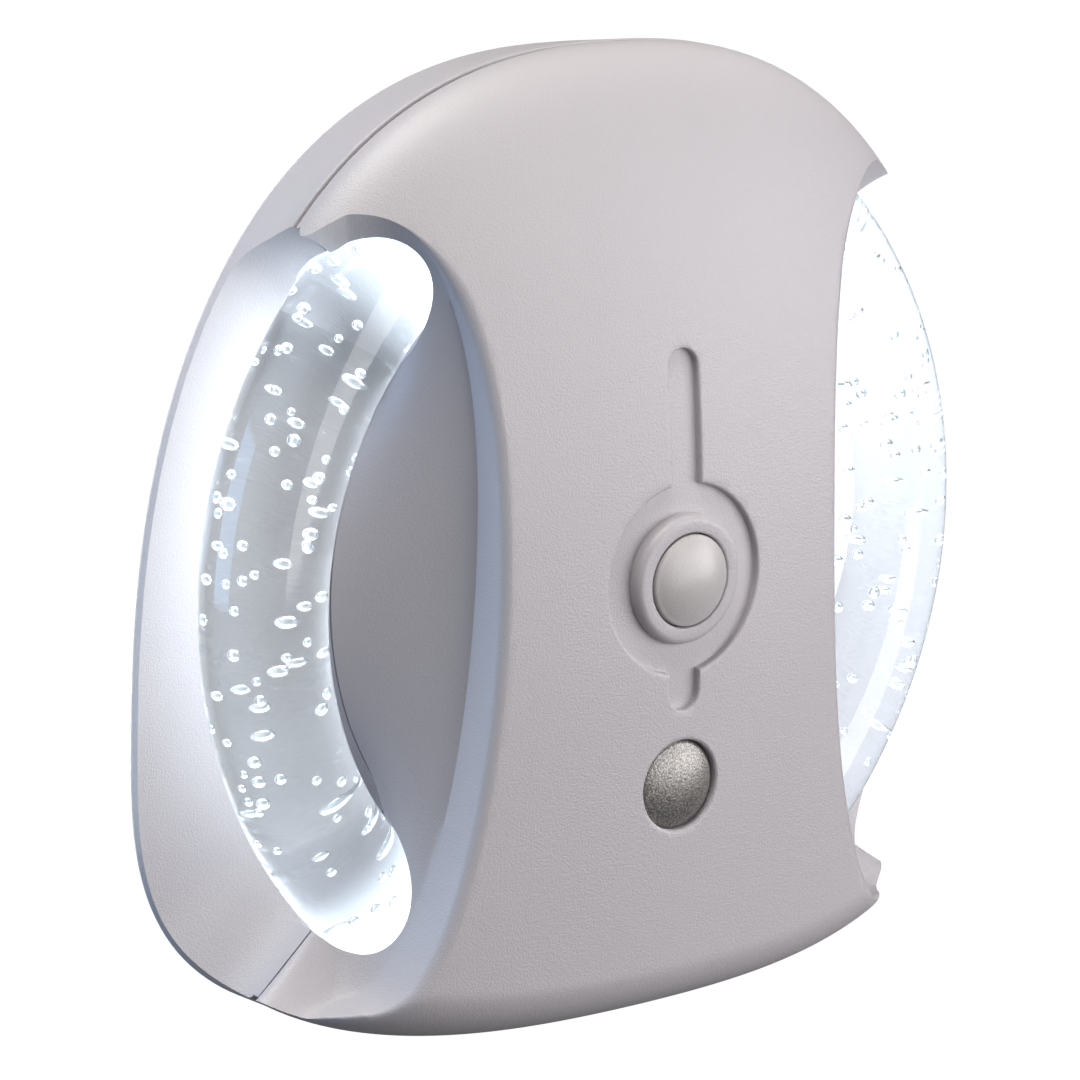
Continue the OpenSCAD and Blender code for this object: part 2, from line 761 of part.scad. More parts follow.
module blade(side) {
    x = side * blade_pitch / 2;
    color(BRASS) {
        difference() {
            translate([x - blade_t / 2, 0, 0]) rotate([90, 0, 90])
                linear_extrude(blade_t) polygon([
                    [-TAB_IN, -2], [-TAB_IN, 2], [plate_back_y, 2], [plate_back_y, blade_w / 2],
                    [blade_out - 1.6, blade_w / 2], [blade_out, blade_w / 2 - 1.2],
                    [blade_out, 1.2 - blade_w / 2], [blade_out - 1.6, -blade_w / 2],
                    [plate_back_y, -blade_w / 2], [plate_back_y, -2]]);
            translate([x - blade_t, blade_out - 4.5, 0]) rotate([0, 90, 0])
                cylinder(d = blade_hole_d, h = 2 * blade_t, $fn = 48);
        }
        for (s = [-1, 1])
            translate([x + s * (blade_t / 2 + 0.4), -wall - SHOULDER_T / 2, 0])
                cube([0.8, SHOULDER_T, blade_w - 1], center = true);
    }
}

module blade_left() { blade(-1); }
module blade_right() { blade(1); }

// Insulating plate that clamps the blades' shoulders to the back wall
module blade_plate() {
    color(CREAM) difference() {
        translate([-PLATE_W / 2, plate_front_y, -PLATE_H / 2])
            cube([PLATE_W, PLATE_T, PLATE_H]);
        for (s = [-1, 1]) {
            translate([s * blade_pitch / 2, plate_front_y, 0])
                cube([blade_t + 0.2, 3 * PLATE_T, 4.2], center = true);
            post(s * plate_screw_x, 0, small_screw_d / 2 + 0.15, plate_front_y - 1, 0);
        }
    }
}

LEAD_X = 14;
LEAD_Z = 5;
LEAD_BEND = 3;
LEAD_R = 0.8;

// Lead from a blade's tab to the back of the board
module supply_lead(side) {
    tab = [side * blade_pitch / 2, -TAB_IN - WIRE_GAP, 0];
    pad = [side * LEAD_X, board_back_y + WIRE_GAP, side * LEAD_Z];
    color(side < 0 ? [0.15, 0.15, 0.16] : [0.92, 0.92, 0.92])
        wire(tab, tab - [0, LEAD_BEND, 0], pad + [0, 1.65 * LEAD_BEND, 0], pad, r = LEAD_R);
}

module supply_lead_left() { supply_lead(-1); }
module supply_lead_right() { supply_lead(1); }

// ---- Fasteners --------------------------------------------------------------------------

// Round head screw along Y: under its head at y, its tip at y - length
module screw(x, z, y, d, length, head_r, head_h) {
    post(x, z, d / 2 - 0.27, y - length, y);
    difference() {
        post(x, z, head_r, y, y + head_h);
        for (a = [0, 90]) translate([x, y + head_h, z]) rotate([0, a, 0])
            cube([head_r * 1.2, head_h, 0.5], center = true);
    }
}

HEAD_H = 1.6;
SMALL_HEAD_H = 1.2;
small_head_r = 0.9 * small_screw_d;

module housing_screws() {
    color(STEEL) {
        screw(0, screw_top, -HEAD_DEEP, screw_d, TOP_SCREW_L, screw_d - 0.2, HEAD_H);
        screw(0, -screw_low, -HEAD_DEEP, screw_d, LOW_SCREW_L, screw_d - 0.2, HEAD_H);
    }
}

module board_screws() {
    color(STEEL) for (p = BOARD_POSTS)
        screw(p[0], p[1], board_back_y, small_screw_d, SMALL_SCREW_L, small_head_r, SMALL_HEAD_H);
}

module plate_screws() {
    color(STEEL) for (s = [-1, 1])
        translate([s * plate_screw_x, plate_front_y, 0]) mirror([0, 1, 0])
            screw(0, 0, 0, small_screw_d, SMALL_SCREW_L, small_head_r, SMALL_HEAD_H);
}

front_housing();
rear_housing();
light_rod_left();
light_rod_right();
push_button();
switch_plunger();
switch_dome();
switch_body();
sensor_lens();
photocell();
sensor_sleeve();
circuit_board();
film_capacitor();
filter_capacitor();
bridge_rectifier();
fuse_resistor();
bleed_resistor();
dropper_resistor();
control_chip();
led_top_left();
led_top_right();
led_low_left();
led_low_right();
led_cup_top_left();
led_cup_top_right();
led_cup_low_left();
led_cup_low_right();
led_wires_top_left();
led_wires_top_right();
led_wires_low_left();
led_wires_low_right();
blade_left();
blade_right();
blade_plate();
supply_lead_left();
supply_lead_right();
housing_screws();
board_screws();
plate_screws();
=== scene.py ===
import math

import bmesh
import bpy
import numpy as np
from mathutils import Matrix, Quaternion, Vector


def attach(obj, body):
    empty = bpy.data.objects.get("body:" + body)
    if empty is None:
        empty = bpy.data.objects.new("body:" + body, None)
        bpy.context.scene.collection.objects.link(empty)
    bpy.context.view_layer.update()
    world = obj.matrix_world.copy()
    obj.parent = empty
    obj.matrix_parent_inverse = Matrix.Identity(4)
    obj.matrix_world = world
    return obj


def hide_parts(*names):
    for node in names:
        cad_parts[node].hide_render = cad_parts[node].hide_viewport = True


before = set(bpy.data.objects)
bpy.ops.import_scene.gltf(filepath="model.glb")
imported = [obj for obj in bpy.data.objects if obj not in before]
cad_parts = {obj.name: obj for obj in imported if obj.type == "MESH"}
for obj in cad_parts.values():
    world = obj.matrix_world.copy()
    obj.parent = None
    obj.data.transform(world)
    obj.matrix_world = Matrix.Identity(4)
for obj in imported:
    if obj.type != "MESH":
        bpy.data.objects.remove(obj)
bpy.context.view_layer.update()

MM = 0.001

# ---- Camera and studio ------------------------------------------------------------------
# A long lens from the left of the front and a little above it, over a white floor well below
# the light. The walls are dim, and five big soft lamps stand at the right, above, at the left,
# in front and behind. The left one is cool and the top one a little warm.

CAMERA_YAW = 38.82
CAMERA_PITCH = 13.79
CAMERA_ROLL = 1.70
CAMERA_DISTANCE = 471.6 * MM
CAMERA_AIM = Vector((-3.05, -5.46, 0.30)) * MM
CAMERA_LENS = 156.9
CAMERA_SENSOR = 36
FLOOR_DROP = 160 * MM
FLOOR_HALF = 3.0
PLAIN_WHITE = 1.02
WALL_GREY = 0.12


def place_camera():
    """A camera at a yaw to the left of the front and a pitch above it, rolled about its axis."""
    yaw, pitch = math.radians(CAMERA_YAW), math.radians(CAMERA_PITCH)
    back = Vector((-math.sin(yaw) * math.cos(pitch), -math.cos(yaw) * math.cos(pitch), math.sin(pitch)))
    data = bpy.data.cameras.new("camera")
    data.lens = CAMERA_LENS
    data.sensor_width = CAMERA_SENSOR
    camera = bpy.data.objects.new("camera", data)
    bpy.context.collection.objects.link(camera)
    camera.location = CAMERA_AIM + back * CAMERA_DISTANCE
    camera.rotation_mode = "QUATERNION"
    roll = Quaternion((0, 0, 1), math.radians(CAMERA_ROLL))
    camera.rotation_quaternion = (-back).to_track_quat("-Z", "Y") @ roll
    bpy.context.scene.camera = camera


def soft_lamp(name, place, size, power, colour=(1, 1, 1)):
    """A square area lamp at a place in millimetres, turned to the middle of the light."""
    data = bpy.data.lights.new(name, "AREA")
    data.size = size * MM
    data.energy = power
    data.color = colour
    lamp = bpy.data.objects.new(name, data)
    bpy.context.collection.objects.link(lamp)
    lamp.location = Vector(place) * MM
    lamp.rotation_euler = (-lamp.location).to_track_quat("-Z", "Y").to_euler()


def fill(node, values):
    """Puts values into a node's inputs, by their names or numbers."""
    for name, value in dict(values).items():
        node.inputs[name].default_value = value
    return node


def add_node(nodes, kind, values=(), **settings):
    """A new node of a kind with its settings and values."""
    node = nodes.new(kind)
    for name, setting in settings.items():
        setattr(node, name, setting)
    return fill(node, values)


def join(links, *pairs):
    """Links pairs of sockets, from the first to the second."""
    for start, end in pairs:
        links.new(start, end)


def make_floor():
    """A square white floor, FLOOR_DROP below the plug, that shows plain white. It throws no
    light of its own at the body: the lower half of the grey walls stands for its bounce."""
    mesh = bpy.data.meshes.new("floor")
    corners = [(-FLOOR_HALF, -FLOOR_HALF), (FLOOR_HALF, -FLOOR_HALF),
               (FLOOR_HALF, FLOOR_HALF), (-FLOOR_HALF, FLOOR_HALF)]
    mesh.from_pydata([(x, y, -FLOOR_DROP) for x, y in corners], [], [(0, 1, 2, 3)])
    floor = bpy.data.objects.new("floor", mesh)
    bpy.context.collection.objects.link(floor)
    finish = bpy.data.materials.new("floor_paint")
    finish.use_nodes = True
    fill(finish.node_tree.nodes["Principled BSDF"],
         {"Base Color": (0, 0, 0, 1), "Specular IOR Level": 0,
          "Emission Color": (1, 1, 1, 1), "Emission Strength": PLAIN_WHITE})
    mesh.materials.append(finish)
    floor.visible_diffuse = floor.visible_glossy = floor.visible_shadow = False


def make_walls():
    """Even grey studio walls all round, which the camera sees as plain white."""
    world = bpy.data.worlds.new("studio")
    bpy.context.scene.world = world
    world.use_nodes = True
    nodes, links = world.node_tree.nodes, world.node_tree.links
    path = nodes.new("ShaderNodeLightPath")
    strength = add_node(nodes, "ShaderNodeMapRange", {"To Min": WALL_GREY, "To Max": PLAIN_WHITE})
    back = fill(nodes["Background"], {"Color": (1, 1, 1, 1)})
    join(links, (path.outputs["Is Camera Ray"], strength.inputs["Value"]),
         (strength.outputs["Result"], back.inputs["Strength"]))


place_camera()
make_floor()
make_walls()
soft_lamp("right_lamp", (455, -375, 60), 300, 1.60)
soft_lamp("top_lamp", (-150, -40, 580), 400, 4.2, (1.0, 0.99, 0.92))
soft_lamp("cool_lamp", (-500, 190, 40), 300, 1.2, (0.38, 0.64, 1.0))
soft_lamp("front_lamp", (170, -565, 60), 400, 1.75)
soft_lamp("back_lamp", (0, 600, -60), 400, 2.2)
bpy.context.scene.view_settings.view_transform = "Standard"

# ---- Front housing ----------------------------------------------------------------------
# The front half of the body: one injection moulded shell of pearl ABS with a fine spark
# texture. Its face is a shallow dome that turns square into the parting line. A pocket is cut
# into either side for the light rod, and a keyhole shaped recess is sunk round the button.

# Sizes are in millimetres. ROUND_TOP and ROUND_LOW are the powers of the outline's two halves,
# CROSS_ROUND and TOP_FALL those of the face's fall to the side and to the top.
HALF_W = 50.0
UP_H = 64.8
DOWN_H = 33.0
WIDE_DROP = 14.0
ROUND_TOP = 2.4
ROUND_LOW = 3.0
FRONT_D = 15.2
REAR_D = 9.8
DEPTH = FRONT_D + REAR_D
WALL = 2.0
BOTTOM_ROLL = 7.5
CROSS_ROUND = 1.8
TOP_FALL = 2.3

# Points round the outline, rings of the face from its middle to the rim, and where the first
# ring lies on that way, for the outer form and the plainer inner one.
RIM_POINTS = 288
INNER_POINTS = 120
DOME_RINGS = 72
INNER_RINGS = 24
FIRST_RING = 0.02


def signed_power(value, power):
    """The sign of a value times its size to a power."""
    return np.sign(value) * np.abs(value) ** power


def outline(turn, inset=0.0, drop=0.0):
    """Body outline in X and Z: a half superellipse above the widest level and another below,
    drawn in by inset, the lower one made deeper by drop. turn is its angle in radians."""
    across, up = np.cos(turn), np.sin(turn)
    n = np.where(up >= 0, ROUND_TOP, ROUND_LOW)
    rise = np.where(up >= 0, UP_H - inset, DOWN_H - inset + drop)
    x = (HALF_W - inset) * signed_power(across, 2 / n)
    return x, -WIDE_DROP + rise * signed_power(up, 2 / n)


def even_turns(count):
    """Angles for the outline at equal steps along it: its length is summed over fine steps
    and the wanted lengths are looked up."""
    fine = np.linspace(0, 2 * np.pi, 40001)
    x, z = outline(fine)
    length = np.concatenate([[0], np.cumsum(np.hypot(np.diff(x), np.diff(z)))])
    return np.interp(np.arange(count) / count * length[-1], length, fine)


TURNS = even_turns(RIM_POINTS)
INNER_TURNS = even_turns(INNER_POINTS)


def face_depth(x, z, inset=0.0):
    """Depth of the face behind its foremost plane. fall joins a power of the distance to the
    side with a power of the way to the outline above or below, and the depth goes with one
    minus the root of what is left, so that the face ends square to the parting line."""
    upper = z >= -WIDE_DROP
    side = np.minimum(1, np.abs(x) / (HALF_W - inset))
    n = np.where(upper, ROUND_TOP, ROUND_LOW)
    rise = (np.where(upper, UP_H, DOWN_H) - inset) * (1 - side**n) ** (1 / n)
    way = np.minimum(1, np.abs(z + WIDE_DROP) / np.maximum(0.01, rise))
    start = np.where(upper, 0, 1 - BOTTOM_ROLL / DOWN_H)
    over = np.maximum(0, (way - start) / (1 - start)) ** np.where(upper, TOP_FALL, 2)
    across = side**CROSS_ROUND
    fall = across + (1 - across) * over
    return inset + (FRONT_D - inset) * (1 - np.sqrt(np.maximum(0, 1 - fall)))


def face_y(x, z):
    """Place of the face along Y at x and z."""
    return -DEPTH + face_depth(x, z)


def stack(x, y, z):
    """Points from three arrays or numbers that stretch to one shape."""
    return np.stack(np.broadcast_arrays(x, y, z), -1).astype(float)


def make_skin(name, rings):
    """Closed surface through equal rings of points, in millimetres: quads between each ring
    and the next, and one polygon over the first ring and over the last."""
    rings = np.asarray(rings, float)
    count, n = rings.shape[:2]
    here = np.arange(n)
    beside = (here + 1) % n
    start = np.arange(count - 1)[:, None] * n
    quads = np.stack([start + here, start + beside, start + n + beside, start + n + here], -1)
    caps = [list(range(n))[::-1], list(range((count - 1) * n, count * n))]
    mesh = bpy.data.meshes.new(name)
    mesh.from_pydata((rings.reshape(-1, 3) * MM).tolist(), [], quads.reshape(-1, 4).tolist() + caps)
    return outward(mesh)


DOUBLE = 0.002


def outward(mesh):
    """Merges points nearer than DOUBLE and turns the faces outwards."""
    work = bmesh.new()
    work.from_mesh(mesh)
    bmesh.ops.remove_doubles(work, verts=work.verts, dist=DOUBLE * MM)
    bmesh.ops.recalc_face_normals(work, faces=work.faces)
    work.to_mesh(mesh)
    work.free()
    return mesh


def mirrored(mesh):
    """A copy of a mesh on the other side of the YZ plane."""
    copy = mesh.copy()
    copy.transform([[-1, 0, 0, 0], [0, 1, 0, 0], [0, 0, 1, 0], [0, 0, 0, 1]])
    copy.flip_normals()
    return copy


def pair(*meshes):
    """Meshes, and after them their mirror images."""
    return [*meshes, *[mirrored(mesh) for mesh in meshes]]


def combine(operation, base, *tools):
    """The mesh of base with each tool taken from it, added to it or kept in common."""
    holder = bpy.data.objects.new("work", base)
    bpy.context.collection.objects.link(holder)
    helpers = []
    for tool in tools:
        helper = bpy.data.objects.new("tool", tool)
        bpy.context.collection.objects.link(helper)
        step = holder.modifiers.new("step", "BOOLEAN")
        step.operation = operation
        step.solver = "MANIFOLD"
        step.object = helper
        helpers.append(helper)
    bpy.context.view_layer.update()
    graph = bpy.context.evaluated_depsgraph_get()
    result = bpy.data.meshes.new_from_object(holder.evaluated_get(graph))
    for done in helpers + [holder]:
        bpy.data.objects.remove(done)
    return result


BAR_SIDES = 64
TURNED_SIDES = 128


def even_circle(sides):
    """Angles of equal steps round a circle."""
    return np.arange(sides) * 2 * np.pi / sides


def cylinder(x, z, r, y0, y1):
    """Round bar of radius r along Y between y0 and y1."""
    turn = even_circle(BAR_SIDES)
    ring = [stack(x + r * np.cos(turn), y, z + r * np.sin(turn)) for y in (y0, y1)]
    return make_skin("bar", ring)


def turned(name, profile, z=0.0):
    """Ring or disc turned about an axis along Y through x = 0 and z. The profile is a closed
    loop of (radius, y) points. A loop that touches the axis closes there."""
    loop = np.asarray(profile, float)
    sides, count = TURNED_SIDES, len(loop)
    turn = even_circle(sides)
    x = loop[:, 0][:, None] * np.cos(turn)
    up = loop[:, 0][:, None] * np.sin(turn) + z
    points = stack(x, loop[:, 1][:, None], up)
    row, col = np.meshgrid(np.arange(count), np.arange(sides), indexing="ij")
    below, beside = (row + 1) % count, (col + 1) % sides
    faces = np.stack([row * sides + col, row * sides + beside,
                      below * sides + beside, below * sides + col], -1)
    mesh = bpy.data.meshes.new(name)
    mesh.from_pydata((points.reshape(-1, 3) * MM).tolist(), [], faces.reshape(-1, 4).tolist())
    return outward(mesh)


def box(low, high):
    """Block between two corners."""
    (x0, y0, z0), (x1, y1, z1) = low, high
    ring = [[(x0, y, z0), (x1, y, z0), (x1, y, z1), (x0, y, z1)] for y in (y0, y1)]
    return make_skin("block", ring)


def dome_rings(inset, count, shift=0.0, turns=TURNS):
    """Rings of the face from its middle to the parting line: each is the outline shrunk
    towards the middle by the sine of an even angle, so that they crowd at the rim. The last
    one lies in the parting plane."""
    x, z = outline(turns, inset)
    rings = []
    for share in np.sin(np.linspace(FIRST_RING, 1, count) * np.pi / 2):
        ring_x, ring_z = x * share, -WIDE_DROP + (z + WIDE_DROP) * share
        rings.append(stack(ring_x, -DEPTH + face_depth(ring_x, ring_z, inset) + shift, ring_z))
    rings[-1][:, 1] = -REAR_D + shift
    return rings


def flat_ring(y, inset=0.0, drop=0.0, turns=TURNS):
    """The outline in a plane at y, drawn in by inset, its lower half made deeper by drop."""
    x, z = outline(turns, inset, drop)
    return stack(x, y, z)


# The round of a cutter's lip starts at LIP_START degrees, a share LIP_PROUD of its radius above
# the face, where the cutter is LIP_WIDE radii wider than its side.
LIP_START = 75
LIP_WIDE = 1.05
LIP_PROUD = 0.06


def lip_rings(loop, r, above, steps, floor=np.inf):
    """Rings of a cutter that rounds the edge it leaves in the face by r: straight down from
    above the face, then a quarter round into the cutter's side. loop gives the cutter's x and
    z for a growth. No ring goes deeper than floor."""
    x, z = loop(LIP_WIDE * r)
    rings = [stack(x, -DEPTH - above, z),
             stack(x, np.minimum(floor, face_y(x, z) - LIP_PROUD * r), z)]
    for a in np.radians(np.linspace(LIP_START, 0, steps)):
        x, z = loop(r * (1 - np.cos(a)))
        rings.append(stack(x, np.minimum(floor, face_y(x, z) + r * (1 - np.sin(a))), z))
    return rings


# The side pockets. q runs along a pocket from 1, far out at its top end, through 0 at the
# waist of the panel, to -1, far out at its lower end. TURN is where the edge's ellipse ends.
WAIST_HALF_W = 21.3
WAIST_H = 5.0
POCKET_TOP = 38.0
POCKET_LOW = 40.0
FLARE_TOP = 12.5
FLARE_LOW = 12.2
BAND_D = 6.4
BAND_GAIN = 4.4
ARCH_POWER = 1.2
ARCH_FALL = 0.016
ARCH_END = 14.0
LIP_FALL = 2.8
END_EASE = 0.6
POCKET_UP_ANGLE = 43.3
POCKET_LOW_ANGLE = 42.5
TROUGH_UP_FALL = 5.0
TROUGH_LOW_FALL = 11.0
TROUGH_ROUND = 3.5
TROUGH_UP_OUT = 1.0
TROUGH_LOW_OUT = 2.0
TROUGH_GAP = 1.75
ROD_R = 6.25
ROD_BEND_R = 42.8
ROD_OFFSET = 2.8
ROD_DROP = 0.7
ROD_CLEAR = 0.25
TROUGH_R = ROD_R + TROUGH_GAP
TROUGH_FLAT = 0.93
TROUGH_OUT = 0.945
REACH = HALF_W + 25
ARC_REACH = REACH + 8
ARC_OUT_FROM = 0.5
ARC_OUT_POWER = 2.2
ARC_EASE = 1.6
TURN = 0.75
EDGE_R = 1.1
EDGE_LEAST = 0.02
EDGE_SHARE = 0.6
BAND_GROW = 0.4
ANGLE_GROW = 1.4
PAST_SIDE = 9
PAST_FACE = 4

# Steps along a pocket, which crowd round the ellipse's ends.
HALF_ALONG = np.concatenate([np.linspace(1, 0.88, 13)[:-1], np.linspace(0.88, 0.75, 120)[:-1],
                             np.linspace(0.75, 0, 73)])
ALONG = np.concatenate([HALF_ALONG, -HALF_ALONG[-2::-1]])
COARSE_ALONG = np.linspace(1, -1, 65)


def panel_edge(q, grow=0.0):
    """Edge of the front panel: a quarter ellipse up from the waist, whose width is raised to
    a power for a rounder arch, and a plain one down. From their ends the edge runs out to the
    side. Above it falls with the square of the way out, up to ARCH_END, and below evenly, by
    LIP_FALL in ten millimetres."""
    m = np.abs(q)
    part = np.minimum(1, m / TURN) * np.pi / 2
    wide = 1 - np.cos(part)
    flare = np.where(q >= 0, FLARE_TOP * wide**ARCH_POWER, FLARE_LOW * wide)
    x = WAIST_HALF_W - grow + flare
    span = np.where(q >= 0, POCKET_TOP + grow - WAIST_H, -POCKET_LOW - grow - WAIST_H)
    out = (REACH - x) * np.maximum(0, m - TURN) / (1 - TURN)
    fall = np.where(q < 0, out * LIP_FALL / 10, ARCH_FALL * np.minimum(out, ARCH_END) ** 2)
    return x + out, WAIST_H + span * np.sin(part) - fall


def bend_edge(q, r, top_end, low_end):
    """Arc round the middle of the rod's bend at radius r. Its angle, in degrees, nears the
    one at either end with a power of the way left. From ARC_OUT_FROM on it also moves away
    from the bend's middle, with a power of the way past that, and so runs out to the side."""
    m = np.abs(q)
    turn = 1 - (1 - np.minimum(1, m / TURN)) ** ARC_EASE
    angle = np.radians(np.where(q >= 0, top_end, -low_end) * turn)
    past = np.maximum(0, m - ARC_OUT_FROM) / (1 - ARC_OUT_FROM)
    out = r + (ARC_REACH - r) * past**ARC_OUT_POWER
    return -ROD_OFFSET + out * np.cos(angle), -ROD_DROP + out * np.sin(angle)


def pocket(grow=0.0, along=ALONG, rounded=True):
    """One pocket as a closed solid, on the right, grown on all sides: a rounded lip where it
    meets the face, a band straight back, a floor that spreads to the arc behind the rod, and
    a quarter round trough behind the rod that opens to the side. The band gets deeper with the
    square of the way to the pocket's ends, where the floor leaves it without a crease. The
    lip's round dies out where the face comes down to the band. Round the trough the arc's ends
    turn back towards the waist."""
    edge_x, edge_z = panel_edge(along, grow)
    way = np.minimum(1, np.abs(along) / TURN)
    band = -DEPTH + BAND_D + BAND_GAIN * way**2 + BAND_GROW * grow
    rings = [stack(edge_x, -DEPTH - PAST_FACE, edge_z)]
    if rounded:
        r = np.clip(EDGE_SHARE * (band - face_y(edge_x, edge_z)), EDGE_LEAST, EDGE_R)
        rings = lip_rings(lambda more: panel_edge(along, grow + more), r, PAST_FACE, 9, band)
    trough = TROUGH_R + grow
    up, low = POCKET_UP_ANGLE + ANGLE_GROW * grow, POCKET_LOW_ANGLE + ANGLE_GROW * grow
    arc_x, arc_z = bend_edge(along, ROD_BEND_R - trough, up, low)
    for w in np.linspace(0, 1, 15):
        share = w ** (1 + END_EASE * way**4)
        x, z = edge_x + (arc_x - edge_x) * share, edge_z + (arc_z - edge_z) * share
        rings.append(stack(x, band + (-REAR_D - band) * w, z))
    for t in np.linspace(0, np.pi / 2, 25)[1:]:
        tight = 1 - np.cos(t)
        fall = TROUGH_UP_FALL * np.sin(t) + TROUGH_ROUND * tight**3
        x, z = bend_edge(along, ROD_BEND_R - trough * np.cos(t), up - fall,
                         low - TROUGH_LOW_FALL * tight)
        rings.append(stack(x, -REAR_D + trough * np.sin(t) * TROUGH_FLAT, z))
    x, z = bend_edge(along, HALF_W + PAST_SIDE, up - fall - TROUGH_UP_OUT,
                     low - TROUGH_LOW_FALL - TROUGH_LOW_OUT)
    rings.append(stack(x, -REAR_D + trough * TROUGH_OUT, z))
    return make_skin("pocket", rings)


def bend_tube(name, r, start, end, steps, sides, round_end=0.0):
    """Round bar of radius r bent about the middle of the rod's bend, from one angle in
    degrees to another: circles stood up along an arc. round_end draws the first and last
    ones in along a quarter round, as a polished edge."""
    angles = np.radians(np.linspace(start, end, steps))
    shares = np.full(steps, 1.0)
    if round_end:
        extra = np.degrees(round_end / ROD_BEND_R)
        ease = np.radians([0, 25, 50, 75])
        first = np.radians(start) + np.radians(extra) * (1 - np.cos(ease))
        angles = np.concatenate([first, np.radians(np.linspace(start + extra, end - extra, steps)),
                                 -first[::-1] + np.radians(start + end)])
        drawn = (r - round_end * (1 - np.sin(ease))) / r
        shares = np.concatenate([drawn, np.ones(steps), drawn[::-1]])
    turn = even_circle(sides)
    radial = ROD_BEND_R + r * np.cos(turn) * shares[:, None]
    y = -REAR_D + r * np.sin(turn) * shares[:, None]
    x = -ROD_OFFSET + radial * np.cos(angles)[:, None]
    z = -ROD_DROP + radial * np.sin(angles)[:, None]
    return make_skin(name, stack(x, y, z))


# The keyhole: a round recess with a slot above it and a shorter one below.
RECESS_R = 9.6
RECESS_DEEP = 0.8
RECESS_EDGE = 0.28
RECESS_FILLET = 0.2
RECESS_DRAW = 0.1
RECESS_BELOW = 1.5
RECESS_TRIM = 0.01
SLOT_HALF_W = 1.95
SLOT_UP = 22.7
SLOT_DOWN = 13.3


def keyhole_loop(grow):
    """Outline of the recess as one loop: the upper slot's round end, down to the circle,
    round its left half, the lower slot, and back round the right half."""
    half = SLOT_HALF_W + grow
    r = RECESS_R + grow
    lean = np.arcsin(half / r)
    upper = np.linspace(0, np.pi, 25)
    left = np.linspace(np.pi / 2 + lean, 3 * np.pi / 2 - lean, 65)
    lower = np.linspace(np.pi, 2 * np.pi, 25)
    right = np.linspace(-np.pi / 2 + lean, np.pi / 2 - lean, 65)
    side = np.linspace(0, 1, 15)[1:-1]
    up_tip, low_tip = SLOT_UP - SLOT_HALF_W, -SLOT_DOWN + SLOT_HALF_W
    meet = r * np.cos(lean)
    x = np.concatenate([half * np.cos(upper), np.full(len(side), -half), r * np.cos(left),
                        half * np.cos(lower), r * np.cos(right), np.full(len(side), half)])
    z = np.concatenate([up_tip + half * np.sin(upper), up_tip + (meet - up_tip) * side,
                        r * np.sin(left), low_tip + half * np.sin(lower), r * np.sin(right),
                        meet + (up_tip - meet) * side])
    return x, z


def keyhole():
    """The recess as a closed solid: a rounded edge at the face, a fillet where its walls meet
    the floor, and a floor that runs parallel to the face."""
    rings = lip_rings(lambda more: keyhole_loop(more - RECESS_DRAW), RECESS_EDGE, 2, 7)
    for a in np.radians(np.linspace(0, 80, 7)):
        x, z = keyhole_loop(-RECESS_FILLET * (1 - np.cos(a)) - RECESS_DRAW)
        rings.append(stack(x, face_y(x, z) + RECESS_DEEP - RECESS_FILLET * (1 - np.sin(a)), z))
    rings.append(rings[-1] + [0, RECESS_BELOW, 0])
    below = make_skin("below", dome_rings(0, DOME_RINGS, shift=RECESS_DEEP - RECESS_TRIM))
    return combine("DIFFERENCE", make_skin("prism", rings), below)


BUTTON_R = 4.6
BUTTON_GAP = 0.15
BUTTON_HOLE_R = BUTTON_R + BUTTON_GAP
RING_R = 6.5
RING_PROUD = 0.3
RING_INNER_ROUND = 0.25
RING_OUTER_ROUND = 0.75
RING_FRONT = -DEPTH - RING_PROUD
PANEL_EXTRA = 0.4
PANEL_BACK = -DEPTH + WALL + PANEL_EXTRA
LENS_R = 4.5
LENS_DROP = 20.9
HOLE_EDGE = 0.35
FIT = 0.1
SOCKET_WALL = 1.5
SOCKET_R = ROD_R + ROD_CLEAR + SOCKET_WALL


def ring_profile():
    """Section of the raised ring round the button: straight bore, a small round at its inner
    edge, a flat top, and a larger round down into the recess."""
    inner, outer, top = RING_INNER_ROUND, RING_OUTER_ROUND, RING_FRONT
    points = [(BUTTON_HOLE_R, PANEL_BACK)]
    for a in np.radians(np.linspace(180, 90, 7)):
        points.append((BUTTON_HOLE_R + inner + inner * np.cos(a), top + inner - inner * np.sin(a)))
    for a in np.radians(np.linspace(90, 0, 9)):
        points.append((RING_R - outer + outer * np.cos(a), top + outer - outer * np.sin(a)))
    points.append((RING_R, PANEL_BACK))
    return points


def lens_hole():
    """Cutter for the lens's hole: a straight bore whose edge at the face is rounded off. The
    face leans there, so that each point of its rings takes its own depth."""
    turn = even_circle(96)

    def circle(more):
        """The hole's circle round the lens's middle, grown by more."""
        r = LENS_R + FIT + more
        return r * np.cos(turn), -LENS_DROP + r * np.sin(turn)

    rings = lip_rings(circle, HOLE_EDGE, PAST_FACE, 6)
    x, z = circle(0)
    return make_skin("lens_hole", rings + [stack(x, 0, z)])


SOCKET_FROM, SOCKET_TO = 39, 66
WAY_TO = 67


def rod_way():
    """Cutter for a rod and its clearance, on the right, past both sockets' floors."""
    return bend_tube("rod_way", ROD_R + ROD_CLEAR, -WAY_TO, WAY_TO, 97, 64)


def hollow(form):
    """An inner form without the walls that stand round both pockets and all four sockets."""
    sockets = [bend_tube("socket", SOCKET_R, a, b, 15, 40)
               for a, b in ((SOCKET_FROM, SOCKET_TO), (-SOCKET_TO, -SOCKET_FROM))]
    walls = pocket(WALL, COARSE_ALONG, rounded=False)
    return combine("DIFFERENCE", form, *pair(walls), *pair(*sockets))


